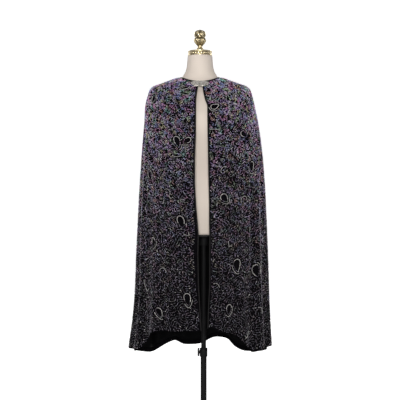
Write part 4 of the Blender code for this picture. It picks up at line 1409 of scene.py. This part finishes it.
def make_form():
    """The form's body under its jersey, one closed body from the bottom edge to the neck's top."""
    rings = FORM_TORSO + tuple(crest_ring(crest) for crest in FORM_CRESTS) + FORM_NECK
    rows = spline_rows(rings, FORM_STEPS)
    bm = bmesh.new()
    uv = bm.loops.layers.uv.new("cloth")
    loops = []
    flat = {}
    for row in rows:
        ring = []
        for column in range(FORM_COLUMNS):
            angle = math.tau * column / FORM_COLUMNS
            across, along = math.sin(angle), math.cos(angle)
            depth, end = (row[1], row[4]) if along > 0 else (row[2], row[5])
            z = row[3] + (end - row[3]) * along * along
            vert = bm.verts.new((FORM_X + row[0] * across, -depth * along, z))
            flat[vert] = (column * 0.0085, z)
            ring.append(vert)
        loops.append(ring)
    for low, high in zip(loops, loops[1:]):
        for j in range(FORM_COLUMNS):
            k = (j + 1) % FORM_COLUMNS
            face = bm.faces.new((low[j], low[k], high[k], high[j]))
            for loop in face.loops:
                place = flat[loop.vert]
                wrap = FORM_COLUMNS * 0.0085 if k == 0 and loop.vert in (low[k], high[k]) else 0.0
                loop[uv].uv = (place[0] + wrap, place[1])
    bm.faces.new(loops[0][::-1])
    bm.faces.new(loops[-1])
    bmesh.ops.recalc_face_normals(bm, faces=bm.faces)
    body = finish_mesh("form_shell", bm, [JERSEY])
    body.data.set_sharp_from_angle(angle=math.radians(50))
    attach(body, "figure")
    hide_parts("form_body")


# Turned pieces

Turn = namedtuple("Turn", "radius z")


def turned_piece(name, profile, columns, centre_x, material, node, body, closed=False, relief_and_shade=None):
    """A profile spun about the upright axis at centre_x, with an optional relief on its face and painted shade in the
    relief's hollows.
    """
    bm = bmesh.new()
    verts = [bm.verts.new((radius, 0.0, z)) for radius, z in profile]
    edges = [bm.edges.new(pair) for pair in zip(verts, verts[1:])]
    if closed:
        edges.append(bm.edges.new((verts[-1], verts[0])))
    bmesh.ops.spin(
        bm, geom=verts + edges, cent=(0, 0, 0), axis=(0, 0, 1), dvec=(0, 0, 0),
        angle=math.tau, steps=columns, use_merge=True, use_duplicate=False,
    )
    bmesh.ops.remove_doubles(bm, verts=bm.verts, dist=0.00002)
    if not closed:
        bmesh.ops.holes_fill(bm, edges=[e for e in bm.edges if e.is_boundary], sides=0)
    bmesh.ops.recalc_face_normals(bm, faces=bm.faces)
    shade = bm.verts.layers.float.new("relief_and_shade")
    for vert in bm.verts:
        radius = math.hypot(vert.co.x, vert.co.y)
        vert[shade] = 1.0
        if relief_and_shade and radius > 0.002:
            angle = math.atan2(vert.co.x, -vert.co.y)
            # The relief gives a rise and a painted shade, dark in its hollows and full where it stands proud.
            rise, bright = relief_and_shade(angle, vert.co.z, radius)
            vert.co.x *= 1 + rise / radius
            vert.co.y *= 1 + rise / radius
            vert[shade] = bright
    bmesh.ops.translate(bm, vec=(centre_x, 0, 0), verts=bm.verts)
    thing = finish_mesh(name, bm, [material])
    thing.data.set_sharp_from_angle(angle=math.radians(38))
    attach(thing, body)
    if node:
        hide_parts(node)
    return thing


CAP_PROFILE = (
    Turn(0.0508, 1.5388),
    Turn(0.0524, 1.5400),
    Turn(0.0524, 1.5420),
    Turn(0.0504, 1.5432),
    Turn(0.0500, 1.5535),
    Turn(0.0510, 1.5548),
    Turn(0.0520, 1.5568),
    Turn(0.0514, 1.5586),
    Turn(0.0486, 1.5597),
    Turn(0.0200, 1.5612),
)
FINIAL_PROFILE = (
    Turn(0.0160, 1.5615),
    Turn(0.0170, 1.5645),
    Turn(0.0148, 1.5695),
    Turn(0.0108, 1.5760),
    Turn(0.0108, 1.5810),
    Turn(0.0165, 1.5905),
    Turn(0.0236, 1.6010),
    Turn(0.0256, 1.6080),
    Turn(0.0230, 1.6150),
    Turn(0.0206, 1.6190),
    Turn(0.0230, 1.6235),
    Turn(0.0248, 1.6310),
    Turn(0.0228, 1.6400),
    Turn(0.0165, 1.6468),
    Turn(0.0070, 1.6505),
    Turn(0.0, 1.6530),
)
CAP_REPEATS = 22
FINIAL_LEAVES = 8


def cap_relief_and_shade(angle, z, radius):
    """Ovals and beads round the cap's band, between its plain rims, with painted shade in their hollows."""
    low, high = 1.5436, 1.5532
    if not low < z < high or radius < 0.045:
        return 0.0, 1.0
    up = (z - low) / (high - low)
    turn = (angle * CAP_REPEATS / math.tau) % 1.0 - 0.5
    oval = 1.0 - min(1.0, math.hypot(turn / 0.36, (up - 0.5) / 0.46) ** 3)
    dart = max(0.0, 1.0 - abs(abs(turn) - 0.5) / 0.09) * math.sin(math.pi * up)
    height = max(oval, dart * 0.8)
    edge = min(up, 1 - up) / 0.12
    return (0.0013 * height - 0.0004) * min(1.0, edge), 0.12 + 0.88 * smooth_step(height * 1.4)


def finial_relief_and_shade(angle, z, radius):
    """Curled leaves on the lower cup and scrolls round the ball, with painted shade in their hollows."""
    turn = angle * FINIAL_LEAVES / math.tau
    if z < 1.583:
        return 0.0, 1.0
    if z < 1.6175:
        up = (z - 1.583) / 0.0345
        vein = abs((turn % 1.0) - 0.5) * 2
        leaf = (1 - vein**2) * math.sin(math.pi * min(1.0, up * 1.08)) ** 0.6
        rib = 0.25 * math.cos((turn % 1.0 - 0.5) * 40 * (0.6 + up))
        height = leaf + rib * leaf
        return 0.0030 * height - 0.0009, 0.10 + 0.9 * float(smooth_step(height * 1.3))
    up = (z - 1.6175) / 0.0355
    swirl = turn + 0.55 * math.sin(up * math.pi)
    wave = 0.5 + 0.5 * math.cos(math.tau * swirl)
    ring = 0.5 + 0.5 * math.cos(up * 19.0)
    height = wave * (0.65 + 0.35 * ring)
    fade = math.sin(math.pi * min(0.98, max(0.02, up))) ** 0.5
    return (0.0030 * height - 0.0010) * fade, 0.14 + 0.86 * float(smooth_step(height * 1.5))


def make_neck_top():
    cap = [(p[0], p[1]) for p in spline_rows(CAP_PROFILE[:4], 3)]
    cap += [(p[0], p[1]) for p in spline_rows(CAP_PROFILE[3:5], 14)[1:]]
    cap += [(p[0], p[1]) for p in spline_rows(CAP_PROFILE[4:], 3)[1:]]
    turned_piece(
        "gilt_cap", cap, 352, FORM_X, GOLD, "neck_cap", "figure", relief_and_shade=cap_relief_and_shade
    )
    finial = [(max(p[0], 0.0), p[1]) for p in spline_rows(FINIAL_PROFILE, 6)]
    turned_piece(
        "gilt_finial", finial, 192, FORM_X, GOLD, "finial", "figure",
        relief_and_shade=finial_relief_and_shade,
    )


# Stand

MAST_RADIUS = 0.0105
MAST_BORE = 0.0085
TUBE_RADIUS = 0.0130
RUNNING_GAP = 0.0003
STAND_COLUMNS = 72
TURNED_STAND = (
    ("mast_tube", "mast", "mast", "black_metal", (
        (MAST_RADIUS, 0.0455), (MAST_RADIUS, 0.7650), (MAST_RADIUS - 0.0006, 0.7657),
        (MAST_BORE, 0.7657), (MAST_BORE, 0.0450), (MAST_RADIUS - 0.0005, 0.0450),
    )),
    ("foot_tube", "lower_tube", "stand", "black_metal", (
        (TUBE_RADIUS, 0.0090), (TUBE_RADIUS, 0.2614), (TUBE_RADIUS - 0.0006, 0.2620),
        (MAST_RADIUS + RUNNING_GAP, 0.2620), (MAST_RADIUS + RUNNING_GAP, 0.0086),
        (TUBE_RADIUS - 0.0004, 0.0086),
    )),
    ("socket_flange", "form_socket", "figure", "black_metal", (
        (0.0194, 0.7250), (0.0200, 0.7256), (0.0200, 0.7590), (0.0212, 0.7603), (0.0414, 0.7607),
        (0.0420, 0.7613), (0.0420, 0.7652), (0.0415, 0.7657), (0.0108, 0.7657), (0.0108, 0.7250),
    )),
    ("round_base", "stand_base", "stand", "black_metal", (
        (0.0, 0.0), (0.1540, 0.0), (0.1548, 0.0004), (0.1550, 0.0012), (0.1550, 0.0040),
        (0.1545, 0.0056), (0.1520, 0.0068), (0.1480, 0.0077), (0.1430, 0.0083), (0.0800, 0.0091),
        (0.0300, 0.0095), (0.0256, 0.0103), (0.0234, 0.0124), (0.0222, 0.0155), (0.0220, 0.0180),
        (0.0220, 0.0303), (0.0216, 0.0314), (0.0205, 0.0320), (0.0133, 0.0320), (0.0133, 0.0083),
        (0.0, 0.0083),
    )),
)
COLLAR_PROFILE = (
    (0.0152, 0.2480), (0.0161, 0.2483), (0.0165, 0.2492), (0.0165, 0.2828), (0.0161, 0.2837),
    (0.0152, 0.2840), (0.0110, 0.2840), (0.0108, 0.2838), (0.0108, 0.2623), (0.0133, 0.2623),
    (0.0133, 0.2480),
)
SCREW_Z = 0.2665
LUG_RADIUS = 0.0085
LUG_REACH = 0.0182
LUG_LENGTH = 0.0035


def make_stand():
    for name, node, body, slot, profile in TURNED_STAND:
        closed = profile[0][0] > 0.001
        turned_piece(name, profile, STAND_COLUMNS, 0.0, POWDER_COAT, node, body, closed=closed)
    turned_piece(
        "collar_ring", COLLAR_PROFILE, STAND_COLUMNS, 0.0, POWDER_COAT, "clamp_collar", "stand",
        closed=True,
    )
    lug = bmesh.new()
    made = bmesh.ops.create_cone(
        lug, cap_ends=True, segments=48, radius1=LUG_RADIUS, radius2=LUG_RADIUS, depth=LUG_LENGTH
    )
    rims = [e for e in lug.edges if abs(e.verts[0].co.z - e.verts[1].co.z) < 1e-6]
    bmesh.ops.bevel(
        lug, geom=rims, offset=0.0008, offset_type="OFFSET", segments=3, profile=0.5,
        affect="EDGES", material=-1,
    )
    bmesh.ops.transform(lug, matrix=Matrix.Rotation(math.radians(90), 4, "Y"), verts=lug.verts)
    bmesh.ops.translate(lug, vec=(-LUG_REACH + LUG_LENGTH / 2, 0, SCREW_Z), verts=lug.verts)
    thing = finish_mesh("collar_lug", lug, [POWDER_COAT])
    thing.data.set_sharp_from_angle(angle=math.radians(38))
    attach(thing, "stand")
    make_knob()
    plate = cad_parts["form_base_plate"]
    plate.data.materials.clear()
    plate.data.materials.append(BLACK_PLASTIC)


KNOB_LOBES = 6


def make_knob():
    """The clamp knob: a disc spun about the screw's axis, pushed in between its lobes."""
    profile = (
        (0.0040, 0.0110), (0.0040, 0.0187), (0.0152, 0.0187), (0.0168, 0.0190), (0.0175, 0.0200),
        (0.0175, 0.0249), (0.0168, 0.0258), (0.0152, 0.0262), (0.0070, 0.0259), (0.0, 0.0258),
    )
    bm = bmesh.new()
    start = [bm.verts.new((0.0, 0.0, profile[0][1]))]
    verts = start + [bm.verts.new((radius, 0.0, z)) for radius, z in profile]
    edges = [bm.edges.new(pair) for pair in zip(verts, verts[1:])]
    bmesh.ops.spin(
        bm, geom=verts + edges, cent=(0, 0, 0), axis=(0, 0, 1), dvec=(0, 0, 0),
        angle=math.tau, steps=96, use_merge=True, use_duplicate=False,
    )
    bmesh.ops.remove_doubles(bm, verts=bm.verts, dist=0.00002)
    for vert in bm.verts:
        radius = math.hypot(vert.co.x, vert.co.y)
        if radius > 0.008:
            angle = math.atan2(vert.co.y, vert.co.x)
            pull = 0.0014 * (math.cos(KNOB_LOBES * angle) - 1.0) * (radius - 0.008) / 0.008
            vert.co.x *= 1 + pull / radius
            vert.co.y *= 1 + pull / radius
    bmesh.ops.recalc_face_normals(bm, faces=bm.faces)
    turn = Matrix.Rotation(math.radians(-90), 4, "Y")
    bmesh.ops.transform(bm, matrix=turn, verts=bm.verts)
    bmesh.ops.translate(bm, vec=(0, 0, SCREW_Z), verts=bm.verts)
    knob = finish_mesh("lobed_knob", bm, [BLACK_PLASTIC])
    knob.data.set_sharp_from_angle(angle=math.radians(38))
    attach(knob, "knob")
    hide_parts("clamp_knob")


# Studio

PAPER_GLOW = 0.90
ROOM_LIGHT = 0.13
ROOM_GLOSS = 0.34
LAMPS = (
    ("key", (-2.1, -3.3, 2.6), 1.3, 24.0),
    ("front", (-0.1, -4.5, 1.35), 1.1, 165.0),
    ("back_left", (-2.4, 2.6, 2.6), 1.8, 44.0),
    ("back_right", (2.6, 2.2, 2.2), 1.8, 44.0),
)

def make_stage():
    """A white floor that curves up into a backdrop, soft lamps and a pale room."""
    material, tree, shader = new_material("white_paper")
    mottle = add_group(tree, MOTTLE, Scale=0.6)
    tree.links.new(object_vector(tree), mottle.inputs["Vector"])
    tree.links.new(colour_mix(tree, mottle.outputs["Mask"], (0.80, 0.80, 0.80), (0.83, 0.83, 0.83)),
                   shader.inputs["Base Color"])
    shader.inputs["Roughness"].default_value = 1.0
    shader.inputs["Specular IOR Level"].default_value = 0.0
    shader.inputs["Emission Color"].default_value = (1.0, 1.0, 1.0, 1.0)
    ray = add_node(tree, "ShaderNodeLightPath")
    glow = math_node(tree, "MULTIPLY", ray.outputs["Is Camera Ray"], PAPER_GLOW)
    tree.links.new(glow, shader.inputs["Emission Strength"])
    bm = bmesh.new()
    bends = np.linspace(0.1, math.pi / 2, 14)
    line = [(-9.0, 0.0), (8.8, 0.0)]
    line += [(8.8 + 1.2 * math.sin(a), 1.2 - 1.2 * math.cos(a)) for a in bends]
    line += [(10.0, 6.0)]
    verts = [bm.verts.new((-9.0, y, z - 0.0002)) for y, z in line]
    edges = [bm.edges.new(pair) for pair in zip(verts, verts[1:])]
    made = bmesh.ops.extrude_edge_only(bm, edges=edges)
    moved = [v for v in made["geom"] if isinstance(v, bmesh.types.BMVert)]
    bmesh.ops.translate(bm, vec=(18.0, 0, 0), verts=moved)
    bmesh.ops.recalc_face_normals(bm, faces=bm.faces)
    finish_mesh("studio_paper", bm, [material])
    world = bpy.data.worlds.new("studio")
    world.use_nodes = True
    tree = world.node_tree
    room = tree.nodes["Background"]
    room.inputs["Color"].default_value = (1.0, 1.0, 1.0, 1.0)
    ray = add_node(tree, "ShaderNodeLightPath")
    seen = math_node(tree, "MULTIPLY", ray.outputs["Is Camera Ray"], 1.0 - ROOM_GLOSS)
    soft = math_node(tree, "MULTIPLY", ray.outputs["Is Diffuse Ray"], ROOM_LIGHT - ROOM_GLOSS)
    glow = math_node(tree, "ADD", math_node(tree, "ADD", seen, ROOM_GLOSS), soft)
    tree.links.new(glow, room.inputs["Strength"])
    bpy.context.scene.world = world
    for name, place, size, power in LAMPS:
        lamp = bpy.data.lights.new(name, "AREA")
        lamp.size = size
        lamp.energy = power
        thing = bpy.data.objects.new(name, lamp)
        thing.location = place
        aim = Vector((FORM_X, 0, 0.95)) - Vector(place)
        thing.rotation_euler = aim.to_track_quat("-Z", "Y").to_euler()
        bpy.context.scene.collection.objects.link(thing)



def make_camera():
    """A level camera in front, so that the photograph's middle lies at the frame's middle."""
    data = bpy.data.cameras.new("camera")
    data.sensor_width = SENSOR
    data.lens = SENSOR * CAMERA_DISTANCE / (PHOTO_PIXELS * METRES_PER_PIXEL)
    camera = bpy.data.objects.new("camera", data)
    height = (FLOOR_ROW - PHOTO_PIXELS / 2) * METRES_PER_PIXEL
    camera.location = (FORM_X, -CAMERA_DISTANCE, height)
    camera.rotation_euler = Euler((math.radians(90), 0, 0))
    bpy.context.scene.collection.objects.link(camera)
    bpy.context.scene.camera = camera
    bpy.context.scene.view_settings.view_transform = "Standard"


make_camera()
make_stage()
make_form()
make_cape()
make_clasp_half(-1, "left")
make_clasp_half(1, "right")
make_neck_top()
make_stand()
